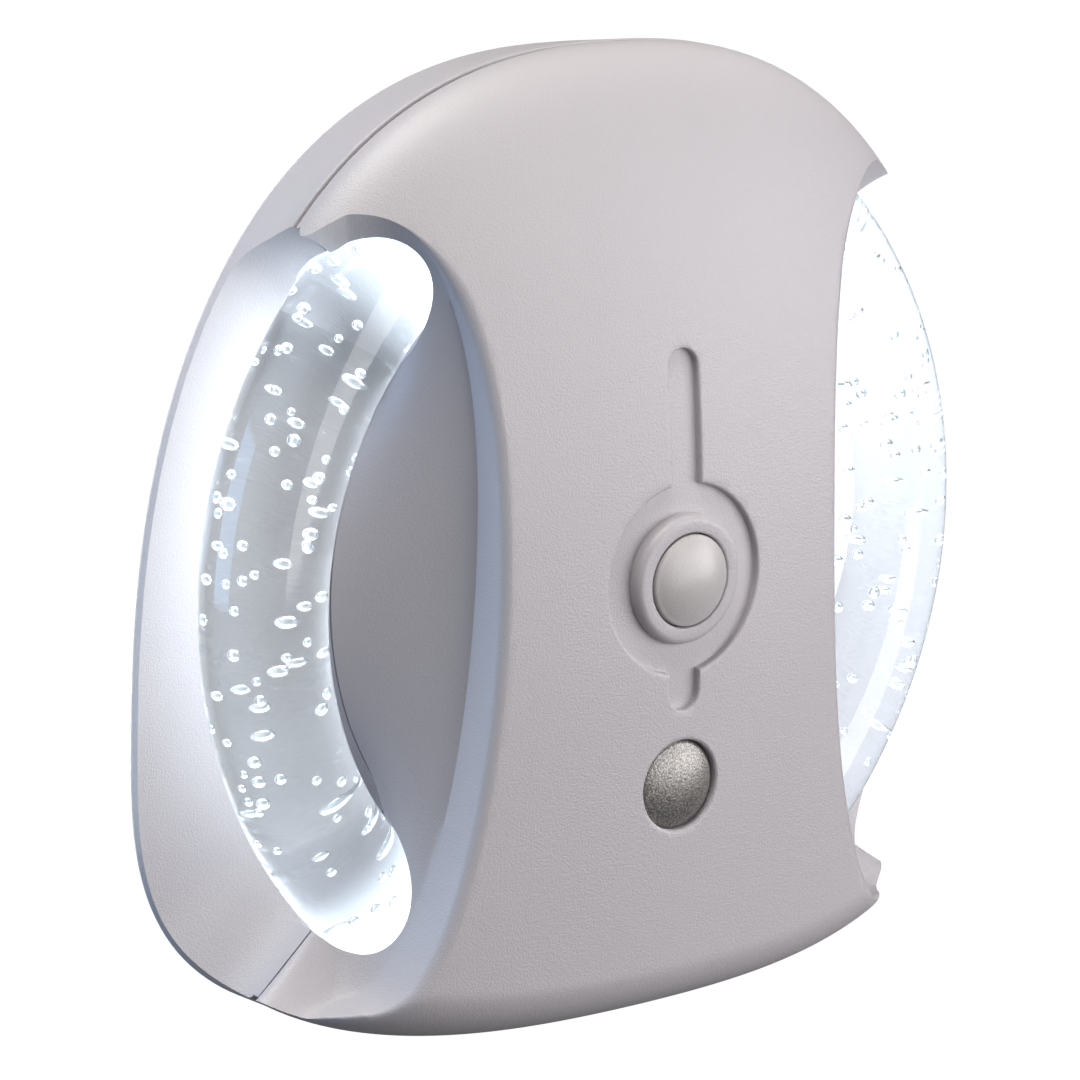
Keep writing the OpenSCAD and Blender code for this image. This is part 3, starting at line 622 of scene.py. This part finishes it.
def front_shell():
    """The face form with pockets, keyhole, holes, hollow and the rods' ways taken away, and
    the ring added."""
    shell = make_skin("front", dome_rings(0, DOME_RINGS))
    shell = combine("DIFFERENCE", shell, *pair(pocket()), keyhole(),
                    cylinder(0, 0, (BUTTON_HOLE_R + RING_R) / 2, -DEPTH - PAST_FACE, 0),
                    lens_hole())
    inside = make_skin("inside", dome_rings(WALL, INNER_RINGS, turns=INNER_TURNS)
                       + [flat_ring(-REAR_D + 1, WALL, turns=INNER_TURNS)])
    shell = combine("DIFFERENCE", shell, hollow(inside), *pair(rod_way()))
    return combine("UNION", shell, turned("ring", ring_profile()))


CLOUD_SCALE = 22
CLOUD_DARK = 0.965
CLOUD_LIGHT = 1.02
SPARK_SCALE = 4800
SPARK_HIGH = 0.06
SPARK_GLOSS = 0.10
LEAST_ROUGH = 0.02
SHARP_ANGLE = 35


def blank_finish(name):
    """A new material with its nodes, links and shader, and the socket that gives the place on
    the piece."""
    finish = bpy.data.materials.new(name)
    finish.use_nodes = True
    nodes, links = finish.node_tree.nodes, finish.node_tree.links
    place = nodes.new("ShaderNodeTexCoord").outputs["Object"]
    return finish, nodes, links, nodes["Principled BSDF"], place


def tone_ramp(nodes, dark, light, low=0.3, high=0.7):
    """A ramp from one colour at a low value to another at a high one."""
    ramp = nodes.new("ShaderNodeValToRGB")
    for stop, value, tone in zip(ramp.color_ramp.elements, (low, high), (dark, light)):
        stop.position = value
        stop.color = (*tone, 1)
    return ramp


def roughen(nodes, links, shader, noise, roughness, vary, strength, high):
    """Shifts a shader's roughness with a noise, vary either way but not below LEAST_ROUGH, and
    makes a bump of the same noise, high millimetres."""
    spread = add_node(nodes, "ShaderNodeMapRange",
                      {"To Min": max(LEAST_ROUGH, roughness - vary), "To Max": roughness + vary})
    bump = add_node(nodes, "ShaderNodeBump", {"Strength": strength, "Distance": high * MM})
    join(links, (noise.outputs["Fac"], bump.inputs["Height"]),
         (bump.outputs["Normal"], shader.inputs["Normal"]),
         (noise.outputs["Fac"], spread.inputs["Value"]),
         (spread.outputs["Result"], shader.inputs["Roughness"]))


def grained_plastic(name, colour, roughness, grain=0.9):
    """Moulded plastic: one base colour that a broad noise shifts slightly, with a fine spark
    texture as bump and a slight change of roughness with the same grain."""
    finish, nodes, links, shader, place = blank_finish(name)
    broad = add_node(nodes, "ShaderNodeTexNoise", {"Scale": CLOUD_SCALE, "Detail": 3})
    ramp = tone_ramp(nodes, [c * CLOUD_DARK for c in colour],
                     [min(1, c * CLOUD_LIGHT) for c in colour])
    fine = add_node(nodes, "ShaderNodeTexNoise", {"Scale": SPARK_SCALE, "Detail": 2})
    join(links, (place, broad.inputs["Vector"]), (place, fine.inputs["Vector"]),
         (broad.outputs["Fac"], ramp.inputs["Fac"]),
         (ramp.outputs["Color"], shader.inputs["Base Color"]))
    roughen(nodes, links, shader, fine, roughness, SPARK_GLOSS, grain, SPARK_HIGH)
    return finish


def finished_piece(name, mesh, material, body, slot, *nodes):
    """An object from a finished mesh, shaded smooth but for edges sharper than SHARP_ANGLE,
    that rides on a body, takes the material given and stands for CAD nodes. slot is not used."""
    mesh.name = name
    mesh.materials.clear()
    mesh.materials.append(material)
    mesh.shade_smooth()
    mesh.set_sharp_from_angle(angle=math.radians(SHARP_ANGLE))
    piece = bpy.data.objects.new(name, mesh)
    bpy.context.collection.objects.link(piece)
    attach(piece, body)
    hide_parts(*nodes)
    return piece


pearl = grained_plastic("pearl_abs", (0.487, 0.458, 0.487), 0.40)
finished_piece("front_shell", front_shell(), pearl, "housing", "pearl_plastic", "front_housing")

# ---- Rear housing -----------------------------------------------------------------------
# The rear half, moulded from the same pearl ABS. A narrow set back strip runs along its front
# edge where the halves meet. Its back is flat, with two deep wells for the housing screws and
# two slots for the blades.

DRAFT = 1.1
LOW_SPREAD = 1.0
BACK_ROUND = 1.2
STRIP_W = 0.9
STRIP_IN = 0.4
STRIP_ROUND = 0.3
SEAM_W = 0.22
SEAM_DEEP = 0.4


def rear_rings():
    """Rings of the rear form from the parting line to the wall: the set back strip, a small
    round up to the full outline, a drafted side, and a quarter round into the back."""
    rings = [flat_ring(-REAR_D, STRIP_IN), flat_ring(-REAR_D + STRIP_W, STRIP_IN)]
    for a in np.radians(np.linspace(0, 90, 6)):
        rings.append(flat_ring(-REAR_D + STRIP_W + STRIP_ROUND * (1 - np.cos(a)),
                               STRIP_ROUND * (1 - np.sin(a))))
    for w in np.linspace(0, 1, 6)[1:]:
        y = -REAR_D + STRIP_W + STRIP_ROUND + (REAR_D - STRIP_W - STRIP_ROUND - BACK_ROUND) * w
        rings.append(flat_ring(y, DRAFT * w, (DRAFT + LOW_SPREAD) * w))
    for a in np.radians(np.linspace(0, 90, 8))[1:]:
        rings.append(flat_ring(-BACK_ROUND * (1 - np.sin(a)), DRAFT + BACK_ROUND * (1 - np.cos(a)),
                               DRAFT + LOW_SPREAD))
    return rings


def rear_inside():
    """Hollow of the rear form, a wall inside it, from before the parting line."""
    rings = [flat_ring(-REAR_D - 1, WALL, turns=INNER_TURNS),
             flat_ring(-REAR_D, WALL, turns=INNER_TURNS),
             flat_ring(-BACK_ROUND - WALL, WALL + DRAFT, DRAFT + LOW_SPREAD, INNER_TURNS),
             flat_ring(-WALL, WALL + DRAFT + BACK_ROUND, DRAFT + LOW_SPREAD, INNER_TURNS)]
    return make_skin("inside", rings)


SCREW_TOP = 43.0
SCREW_LOW = 38.5
BOSS_R = 3.4
HEAD_DEEP = 5.5
SCREW_D = 2.6
SCREW_FIT = 0.2
BLADE_PITCH = 12.7
BLADE_W = 6.35
BLADE_T = 1.52
BLADE_FIT = 0.15


def rear_shell():
    """The rear form with pockets, hollow, rods' ways, seam grooves, wells and slots taken
    away, and the screw posts added. A seam groove is a slightly grown pocket where it lies in
    a thin slab behind the parting line."""
    shell = combine("DIFFERENCE", make_skin("rear", rear_rings()), *pair(pocket()),
                    hollow(rear_inside()), *pair(rod_way()))
    side, end = HALF_W + PAST_SIDE, UP_H
    slab = box((-side, -REAR_D - 1, -end), (side, -REAR_D + SEAM_W, end))
    groove = combine("INTERSECT", pocket(SEAM_DEEP, rounded=False), slab)
    shell = combine("DIFFERENCE", shell, *pair(groove))
    posts = [cylinder(0, z, BOSS_R, -REAR_D, -WALL / 2) for z in (SCREW_TOP, -SCREW_LOW)]
    shell = combine("UNION", shell, *posts)
    wells = []
    for z in (SCREW_TOP, -SCREW_LOW):
        wells.append(cylinder(0, z, SCREW_D / 2 + SCREW_FIT, -REAR_D - 1, 1))
        wells.append(cylinder(0, z, SCREW_D, -HEAD_DEEP, 1))
    for side in (-1, 1):
        x = side * BLADE_PITCH / 2
        half_t, half_w = BLADE_T / 2 + BLADE_FIT, BLADE_W / 2 + BLADE_FIT
        wells.append(box((x - half_t, -WALL - 1, -half_w), (x + half_t, 1, half_w)))
    return combine("DIFFERENCE", shell, *wells)


finished_piece("rear_shell", rear_shell(), pearl, "housing", "pearl_plastic", "rear_housing")

# ---- Light rods -------------------------------------------------------------------------
# Two half inch rods of clear cast acrylic, bent to an arc and polished at their ends, each
# held in a socket above and below. The casting is full of small round air bubbles, which are
# hollows in the rod, so that their walls face inwards.

ROD_ANGLE = 54.0
ROD_EDGE = 0.4
BUBBLES = 126
BUBBLE_D = 1.3
BUBBLE_SPAN = 47
BUBBLE_SKIN = 0.45
BUBBLE_SEED = 147
BUBBLE_SIDES = 12
BUBBLE_LEVELS = (-60, -30, 0, 30, 60)


def scatter(k):
    """For each bubble a number from 0 to 1: what is left after the point of a large multiple
    of a sine, with another phase for each k."""
    large, step, phase = 43758.5453, 151.9, 193.1
    turn = step * np.arange(BUBBLES) + phase * k + BUBBLE_SEED
    value = large * np.sin(np.radians(turn))
    return value - np.floor(value)


def bubble_walls():
    """Spheres as grids of a few sides and levels and two poles, one in each short length of
    the rod, in the middle eight tenths of it. Each has a chance size, from 0.6 of the largest,
    and a chance place in the rod's section, from half way out to near the skin."""
    order = np.arange(BUBBLES)
    along = np.radians(BUBBLE_SPAN * (2 * (order + 0.1 + 0.8 * scatter(1)) / BUBBLES - 1))
    turn = 2 * np.pi * scatter(2)
    r = BUBBLE_D / 2 * (0.6 + 0.4 * scatter(3))
    off = (ROD_R - BUBBLE_SKIN - r) * np.sqrt(0.25 + 0.75 * scatter(4))
    out = ROD_BEND_R + off * np.cos(turn)
    middle = stack(-ROD_OFFSET + out * np.cos(along), -REAR_D + off * np.sin(turn),
                   -ROD_DROP + out * np.sin(along))
    sides, levels = BUBBLE_SIDES, np.radians(BUBBLE_LEVELS)[:, None]
    rounds = even_circle(sides)
    unit = stack(np.cos(levels) * np.cos(rounds), np.cos(levels) * np.sin(rounds),
                 np.sin(levels)).reshape(-1, 3)
    unit = np.concatenate([unit, [[0, 0, -1], [0, 0, 1]]])
    low, high = len(unit) - 2, len(unit) - 1
    here = np.arange(sides)
    beside = (here + 1) % sides
    row = np.arange(len(levels) - 1)[:, None] * sides
    bands = np.stack([row + here, row + sides + here, row + sides + beside, row + beside], -1)
    top = (len(levels) - 1) * sides
    caps = np.concatenate([np.stack([here, beside, np.full(sides, low)], -1),
                           np.stack([top + beside, top + here, np.full(sides, high)], -1)])
    first = np.arange(BUBBLES)[:, None, None] * len(unit)
    faces = (bands.reshape(1, -1, 4) + first).reshape(-1, 4).tolist()
    faces += (caps[None] + first).reshape(-1, 3).tolist()
    points = middle[:, None] + r[:, None, None] * unit
    mesh = bpy.data.meshes.new("bubbles")
    mesh.from_pydata((points.reshape(-1, 3) * MM).tolist(), [], faces)
    return mesh


def light_rod():
    """The right rod with its bubbles as one mesh."""
    rod = bend_tube("rod", ROD_R, -ROD_ANGLE, ROD_ANGLE, 121, 96, round_end=ROD_EDGE)
    work = bmesh.new()
    work.from_mesh(rod)
    work.from_mesh(bubble_walls())
    work.to_mesh(rod)
    work.free()
    return rod


GLOW = 0.9
GLOW_LEAST = 0.08
GLOW_FROM = 29.5
GLOW_FULL = 34.5
GLOW_TOP_LEAN = 1.4
GLOW_LOW_LEAN = 0.9
ROD_CLEAR_COLOUR = (0.94, 0.98, 1.0, 1)
GLOW_COLOUR = (0.80, 0.92, 1.0, 1)
ACRYLIC_IOR = 1.49
SCRATCH_SCALE = 160
SCRATCH_STRETCH = 14
SCRATCH_HIGH = 0.02
SCRATCH_BUMP = 0.25
HAZE = 0.12
HAZE_FROM = 0.45
HAZE_FULL = 0.75


def end_glow(nodes, links, split, radius, end, lean):
    """Strength of the glow near the upper end (end 1) or the lower one (end -1): it rises from
    GLOW_LEAST to GLOW between two heights, GLOW_FROM and GLOW_FULL, and sets in earlier on the
    inner side of the bend, by lean times the distance from the rod's middle line."""
    reach = add_node(nodes, "ShaderNodeMath", {1: end}, operation="MULTIPLY")
    level = add_node(nodes, "ShaderNodeMath", {1: -lean}, operation="MULTIPLY_ADD")
    heights = [(height - lean * ROD_BEND_R) * MM for height in (GLOW_FROM, GLOW_FULL)]
    glow = add_node(nodes, "ShaderNodeMapRange",
                    {"From Min": heights[0], "From Max": heights[1],
                     "To Min": GLOW_LEAST, "To Max": GLOW}, interpolation_type="SMOOTHSTEP")
    join(links, (split.outputs["Z"], reach.inputs[0]), (radius, level.inputs[0]),
         (reach.outputs["Value"], level.inputs[2]), (level.outputs["Value"], glow.inputs["Value"]))
    return glow.outputs["Result"]


def acrylic():
    """Clear acrylic with faint polishing scratches across the rod. Its skin glows where the
    lamps' light leaves it, near the ends."""
    finish, nodes, links, shader, place = blank_finish("bubble_acrylic")
    fill(shader, {"Base Color": ROD_CLEAR_COLOUR, "IOR": ACRYLIC_IOR, "Transmission Weight": 1.0,
                  "Emission Color": GLOW_COLOUR})
    split = nodes.new("ShaderNodeSeparateXYZ")
    aside = add_node(nodes, "ShaderNodeVectorMath", operation="ABSOLUTE")
    flat = add_node(nodes, "ShaderNodeVectorMath", {1: (1, 0, 1), 2: (ROD_OFFSET * MM, 0, 0)},
                    operation="MULTIPLY_ADD")
    radius = add_node(nodes, "ShaderNodeVectorMath", operation="LENGTH")
    both = add_node(nodes, "ShaderNodeMath", operation="MAXIMUM")
    out = radius.outputs["Value"]
    join(links, (place, split.inputs["Vector"]), (place, aside.inputs[0]),
         (aside.outputs["Vector"], flat.inputs[0]), (flat.outputs["Vector"], radius.inputs[0]),
         (end_glow(nodes, links, split, out, 1, GLOW_TOP_LEAN), both.inputs[0]),
         (end_glow(nodes, links, split, out, -1, GLOW_LOW_LEAN), both.inputs[1]),
         (both.outputs["Value"], shader.inputs["Emission Strength"]))
    along = add_node(nodes, "ShaderNodeMapping", {"Scale": (1, 1, SCRATCH_STRETCH)})
    scratches = add_node(nodes, "ShaderNodeTexNoise",
                         {"Scale": SCRATCH_SCALE, "Detail": 5, "Roughness": 0.7})
    bump = add_node(nodes, "ShaderNodeBump",
                    {"Strength": SCRATCH_BUMP, "Distance": SCRATCH_HIGH * MM})
    haze = add_node(nodes, "ShaderNodeMapRange",
                    {"From Min": HAZE_FROM, "From Max": HAZE_FULL, "To Max": HAZE})
    join(links, (place, along.inputs["Vector"]), (along.outputs["Vector"], scratches.inputs["Vector"]),
         (scratches.outputs["Fac"], bump.inputs["Height"]),
         (bump.outputs["Normal"], shader.inputs["Normal"]),
         (scratches.outputs["Fac"], haze.inputs["Value"]),
         (haze.outputs["Result"], shader.inputs["Roughness"]))
    return finish


ROD_LIGHT = 0.0009
ROD_LIGHT_RISE = 0.8
ROD_LIGHT_COLOUR = (0.80, 0.93, 1.0)
ROD_LIGHT_ANGLES = np.radians(np.linspace(-32, 36, 7))
ROD_LIGHT_SIZE = 8
ROD_LIGHT_BACK = 0.8


def rod_lamps(side):
    """The light that leaks from a rod's outer rear side, where the bend lets it out: small
    discs along the rod's middle that face out and back, stronger towards the top. They
    don't show themselves."""
    for number, angle in enumerate(ROD_LIGHT_ANGLES):
        data = bpy.data.lights.new("rod_light", "AREA")
        data.shape = "DISK"
        data.size = ROD_LIGHT_SIZE * MM
        data.energy = ROD_LIGHT * (1 + ROD_LIGHT_RISE * math.sin(angle))
        data.color = ROD_LIGHT_COLOUR
        lamp = bpy.data.objects.new(f"rod_light_{number}", data)
        bpy.context.collection.objects.link(lamp)
        out = Vector((side * math.cos(angle), 0, math.sin(angle)))
        lamp.location = (Vector((-side * ROD_OFFSET, -REAR_D, -ROD_DROP)) + out * ROD_BEND_R) * MM
        facing = out + Vector((0, ROD_LIGHT_BACK, 0))
        lamp.rotation_euler = facing.to_track_quat("-Z", "Y").to_euler()
        lamp.visible_camera = lamp.visible_glossy = lamp.visible_transmission = False


clear = acrylic()
for side, name in ((1, "right"), (-1, "left")):
    rod = light_rod() if side > 0 else mirrored(light_rod())
    piece = finished_piece("rod_" + name, rod, clear, "housing", "bubble_acrylic", "light_rod_" + name)
    piece.visible_shadow = piece.visible_diffuse = False
    rod_lamps(side)

# ---- Push button ------------------------------------------------------------------------
# A moulded cap of the same pearl ABS with a crowned top. It slides in the ring's bore, and a
# flange behind the panel keeps it in.

BUTTON_DOME = 1.3
BUTTON_EDGE = 0.35
BUTTON_EDGE_TALL = 0.9
BUTTON_EDGE_FROM = 60
FLANGE_R = BUTTON_R + 1.0
FLANGE_T = 0.8
FLANGE_Y = PANEL_BACK + FIT
STEM_R = 1.6
PLUNGER_FRONT = -20.4


def crown(to_r, edge_r, rise, top, count):
    """Half section of a ball's cap from its middle, at y = top, out to the radius to_r. The
    ball is the one whose cap is rise high at edge_r."""
    ball = (edge_r**2 + rise**2) / (2 * rise)
    r = to_r * np.linspace(0, 1, count)
    return list(zip(r, top + ball - np.sqrt(ball**2 - r**2)))


def button_profile():
    """Half section of the cap: a spherical crown, an edge rounded along part of an ellipse,
    the straight side, the flange and the stem."""
    crown_r = BUTTON_R - BUTTON_EDGE
    points = crown(crown_r, BUTTON_R, BUTTON_DOME, RING_FRONT - BUTTON_DOME, 22)
    start = points[-1][1]
    tall = BUTTON_EDGE_TALL * BUTTON_EDGE / math.sin(math.radians(BUTTON_EDGE_FROM))
    for a in np.radians(np.linspace(BUTTON_EDGE_FROM, 0, 6)):
        points.append((crown_r + BUTTON_EDGE * np.cos(a), start + tall * (1 - np.sin(a))))
    back = FLANGE_Y + FLANGE_T
    points += [(BUTTON_R, FLANGE_Y), (FLANGE_R, FLANGE_Y), (FLANGE_R, back), (STEM_R, back),
               (STEM_R, PLUNGER_FRONT - FIT), (0, PLUNGER_FRONT - FIT)]
    return points


gloss_pearl = grained_plastic("gloss_pearl_abs", (0.50, 0.47, 0.475), 0.30, grain=0.4)
finished_piece("button_cap", turned("button", button_profile()), gloss_pearl, "button",
               "pearl_plastic", "push_button")

# ---- Sensor lens ------------------------------------------------------------------------
# A low domed lens, moulded in smoked polycarbonate with a pebbled skin that looks slightly
# metallic. It is put in from behind, and its flange rests on the back of the panel.

LENS_FRONT = -DEPTH + 0.7
LENS_RISE = 1.0
LENS_EDGE = 0.2
LENS_BEVEL = 0.15
LENS_FLANGE = 0.9
LENS_FLANGE_T = 0.9


def lens_profile():
    """Half section of the lens: a low crown with a bevelled edge, the straight side and the
    flange behind."""
    front, wide = PANEL_BACK + FIT, LENS_R + LENS_FLANGE
    back = front + LENS_FLANGE_T
    return crown(LENS_R - LENS_EDGE, LENS_R, LENS_RISE, LENS_FRONT - LENS_RISE, 20) + [
        (LENS_R, LENS_FRONT + LENS_BEVEL), (LENS_R, front), (wide, front), (wide, back), (0, back)]


SMOKE_DARK = (0.15, 0.14, 0.135)
SMOKE_LIGHT = (0.37, 0.35, 0.335)
PEBBLE_SCALE = 4200
SPECKLE_SCALE = 5200
PEBBLE_HIGH = 0.05


def smoked():
    """Dark warm grey, mostly metallic, with a finely pebbled surface: a Voronoi of small cells
    for the pebbles, and a noise that lightens some of them."""
    finish, nodes, links, shader, place = blank_finish("smoked_lens")
    fill(shader, {"Metallic": 0.7, "Roughness": 0.45, "Coat Weight": 0.2, "Coat Roughness": 0.12})
    pebbles = add_node(nodes, "ShaderNodeTexVoronoi", {"Scale": PEBBLE_SCALE})
    speckle = add_node(nodes, "ShaderNodeTexNoise", {"Scale": SPECKLE_SCALE, "Detail": 2})
    tone = tone_ramp(nodes, SMOKE_DARK, SMOKE_LIGHT, 0.35, 0.68)
    bump = add_node(nodes, "ShaderNodeBump", {"Strength": 0.5, "Distance": PEBBLE_HIGH * MM})
    join(links, (place, pebbles.inputs["Vector"]), (place, speckle.inputs["Vector"]),
         (speckle.outputs["Fac"], tone.inputs["Fac"]),
         (tone.outputs["Color"], shader.inputs["Base Color"]),
         (pebbles.outputs["Distance"], bump.inputs["Height"]),
         (bump.outputs["Normal"], shader.inputs["Normal"]))
    return finish


finished_piece("lens_cap", turned("lens", lens_profile(), z=-LENS_DROP), smoked(), "housing",
               "smoked_lens", "sensor_lens")

# ---- Sensor's inner parts ---------------------------------------------------------------
# Behind the lens sits a light sensitive cell: a ceramic disc with a dark track that winds
# across it under clear resin, in a black sleeve that keeps the lamps' light off it.


def dress(finish, *names):
    """Gives parts of the frame a finish."""
    for name in names:
        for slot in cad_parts[name].material_slots:
            slot.material = finish


COAT_ROUGH = 0.08
PLAIN_VARY = 0.08
PLAIN_BUMP = 0.5


def plain_finish(name, colour, roughness, metallic=0.0, coat=0.0, vary=0.12, grain=900, depth=0.02,
                 stretch=(1, 1, 1)):
    """A finish whose colour runs between a darker and a lighter tone with a noise, vary apart,
    and whose surface has a bump of the same noise, depth millimetres high. stretch squeezes
    the noise along each axis, for drawn or brushed parts."""
    finish, nodes, links, shader, place = blank_finish(name)
    fill(shader, {"Metallic": metallic, "Coat Weight": coat, "Coat Roughness": COAT_ROUGH})
    turn = add_node(nodes, "ShaderNodeMapping", {"Scale": stretch})
    noise = add_node(nodes, "ShaderNodeTexNoise", {"Scale": grain, "Detail": 4})
    ramp = tone_ramp(nodes, [c * (1 - vary) for c in colour],
                     [min(1, c * (1 + vary)) for c in colour])
    join(links, (place, turn.inputs["Vector"]), (turn.outputs["Vector"], noise.inputs["Vector"]),
         (noise.outputs["Fac"], ramp.inputs["Fac"]),
         (ramp.outputs["Color"], shader.inputs["Base Color"]))
    roughen(nodes, links, shader, noise, roughness, PLAIN_VARY, PLAIN_BUMP, depth)
    return finish


# A wave texture of scale 1 repeats each WAVE_LENGTH units.
WAVE_LENGTH = 0.314
STRIPE_BLUR = 0.06


def waves(nodes, links, period, axis):
    """The strength of a sine wave along an axis of the piece, one each period millimetres."""
    place = nodes.new("ShaderNodeTexCoord")
    wave = add_node(nodes, "ShaderNodeTexWave", {"Scale": WAVE_LENGTH / (period * MM)},
                    bands_direction=axis)
    links.new(place.outputs["Object"], wave.inputs["Vector"])
    return wave.outputs["Fac"]


def striped(finish, period, axis, colour):
    """Adds stripes of a second colour across an axis, one each period millimetres: a sine of
    the place along the axis, cut off sharply."""
    nodes, links = finish.node_tree.nodes, finish.node_tree.links
    shader = nodes["Principled BSDF"]
    ground = shader.inputs["Base Color"].links[0].from_socket
    wave = waves(nodes, links, period, axis)
    edge = add_node(nodes, "ShaderNodeMapRange",
                    {"From Min": 0.5 - STRIPE_BLUR, "From Max": 0.5 + STRIPE_BLUR})
    both = add_node(nodes, "ShaderNodeMix", {"B": (*colour, 1)}, data_type="RGBA")
    join(links, (wave, edge.inputs["Value"]), (edge.outputs["Result"], both.inputs["Factor"]),
         (ground, both.inputs["A"]), (both.outputs["Result"], shader.inputs["Base Color"]))
    return finish


black_abs = grained_plastic("black_abs", (0.022, 0.022, 0.025), 0.42)
dress(striped(plain_finish("cell_ceramic", (0.50, 0.20, 0.08), 0.35, coat=1.0, grain=700), 0.8, "Z",
              (0.10, 0.03, 0.02)), "photocell")
dress(black_abs, "sensor_sleeve")

# ---- Push switch ------------------------------------------------------------------------
# A tactile switch under the button. The button's stem presses a black moulded plunger, which
# snaps a thin stamped steel dome in a grey nylon body that sits on the board.

steel = plain_finish("zinc_plated_steel", (0.62, 0.62, 0.64), 0.28, metallic=1.0, vary=0.06, grain=1800,
                     depth=0.006)
dress(black_abs, "switch_plunger")
dress(steel, "switch_dome")
dress(grained_plastic("grey_nylon", (0.055, 0.056, 0.06), 0.5), "switch_body")

# ---- Board and supply -------------------------------------------------------------------
# A green glass cloth laminate with the mains supply on it: a dipped film capacitor, a sleeved
# filter capacitor, a moulded rectifier, three lacquered resistors and the dimmer's chip.

THREAD = 0.45
STRIPE_PITCH = 2.2


def laminate():
    """Green solder mask over glass cloth: two crossed waves, one each THREAD millimetres, show
    the weave."""
    finish = plain_finish("board_laminate", (0.020, 0.11, 0.045), 0.3, coat=0.6, grain=300)
    nodes, links = finish.node_tree.nodes, finish.node_tree.links
    weave = add_node(nodes, "ShaderNodeMath", operation="MAXIMUM")
    join(links, (waves(nodes, links, THREAD, "X"), weave.inputs[0]),
         (waves(nodes, links, THREAD, "Z"), weave.inputs[1]),
         (weave.outputs["Value"], nodes["Bump"].inputs["Height"]))
    return finish


dress(laminate(), "circuit_board")
dress(plain_finish("red_epoxy", (0.42, 0.045, 0.025), 0.25, coat=0.8, grain=260, depth=0.08),
      "film_capacitor")
dress(plain_finish("blue_sleeve", (0.012, 0.02, 0.09), 0.3, coat=0.3, grain=400), "filter_capacitor")
dress(black_abs, "bridge_rectifier", "control_chip")
for part, name, ground, stripe in (
        ("fuse_resistor", "green_lacquer", (0.10, 0.27, 0.13), (0.20, 0.09, 0.03)),
        ("bleed_resistor", "beige_lacquer", (0.58, 0.42, 0.24), (0.35, 0.03, 0.02)),
        ("dropper_resistor", "blue_lacquer", (0.16, 0.33, 0.50), (0.02, 0.02, 0.02))):
    dress(striped(plain_finish(name, ground, 0.3, coat=0.6), STRIPE_PITCH, "Z", stripe), part)

# ---- Lamps and wires --------------------------------------------------------------------
# A clear 5 mm lamp at each end of each rod, held against it by a white cup, with two PVC
# covered wires to the board, and the two leads that bring the mains from the blades.


def lit(finish, colour, strength):
    """Gives a finish an even glow of a colour and strength."""
    shader = finish.node_tree.nodes["Principled BSDF"]
    fill(shader, {"Emission Color": (*colour, 1), "Emission Strength": strength})
    return finish


ENDS = ("top_left", "top_right", "low_left", "low_right")
LED_WHITE = (0.86, 0.93, 1.0)

white_abs = grained_plastic("white_abs", (0.80, 0.79, 0.76), 0.45)
# The white cups get a painted glow: an even emission in the lamps' white that stands for the lamps'
# light on them.
painted_glow_cup = lit(grained_plastic("lamp_cup_painted_glow", (0.80, 0.79, 0.76), 0.45), LED_WHITE, 0.8)
lamp_epoxy = lit(plain_finish("lamp_epoxy", (0.86, 0.90, 0.96), 0.12, coat=1.0, vary=0.03),
                 LED_WHITE, 3.0)
white_pvc = plain_finish("white_pvc", (0.78, 0.78, 0.76), 0.45, vary=0.04, grain=500, depth=0.03)
black_pvc = plain_finish("black_pvc", (0.018, 0.018, 0.02), 0.45, vary=0.2, grain=500, depth=0.03)
dress(lamp_epoxy, *["led_" + end for end in ENDS])
dress(painted_glow_cup, *["led_cup_" + end for end in ENDS])
dress(white_pvc, *["led_wires_" + end for end in ENDS], "supply_lead_right")
dress(black_pvc, "supply_lead_left")

# ---- Plug and screws --------------------------------------------------------------------
# Two stamped brass blades, brushed along their length, clamped by a white moulded plate, and
# the zinc plated screws that hold the plate, the board and the two halves.

brass = plain_finish("plug_brass", (0.80, 0.62, 0.30), 0.38, metallic=1.0, vary=0.06, grain=1400,
                     depth=0.01, stretch=(1, 0.03, 1))
dress(brass, "blade_left", "blade_right")
dress(white_abs, "blade_plate")
dress(steel, "plate_screws", "board_screws", "housing_screws")
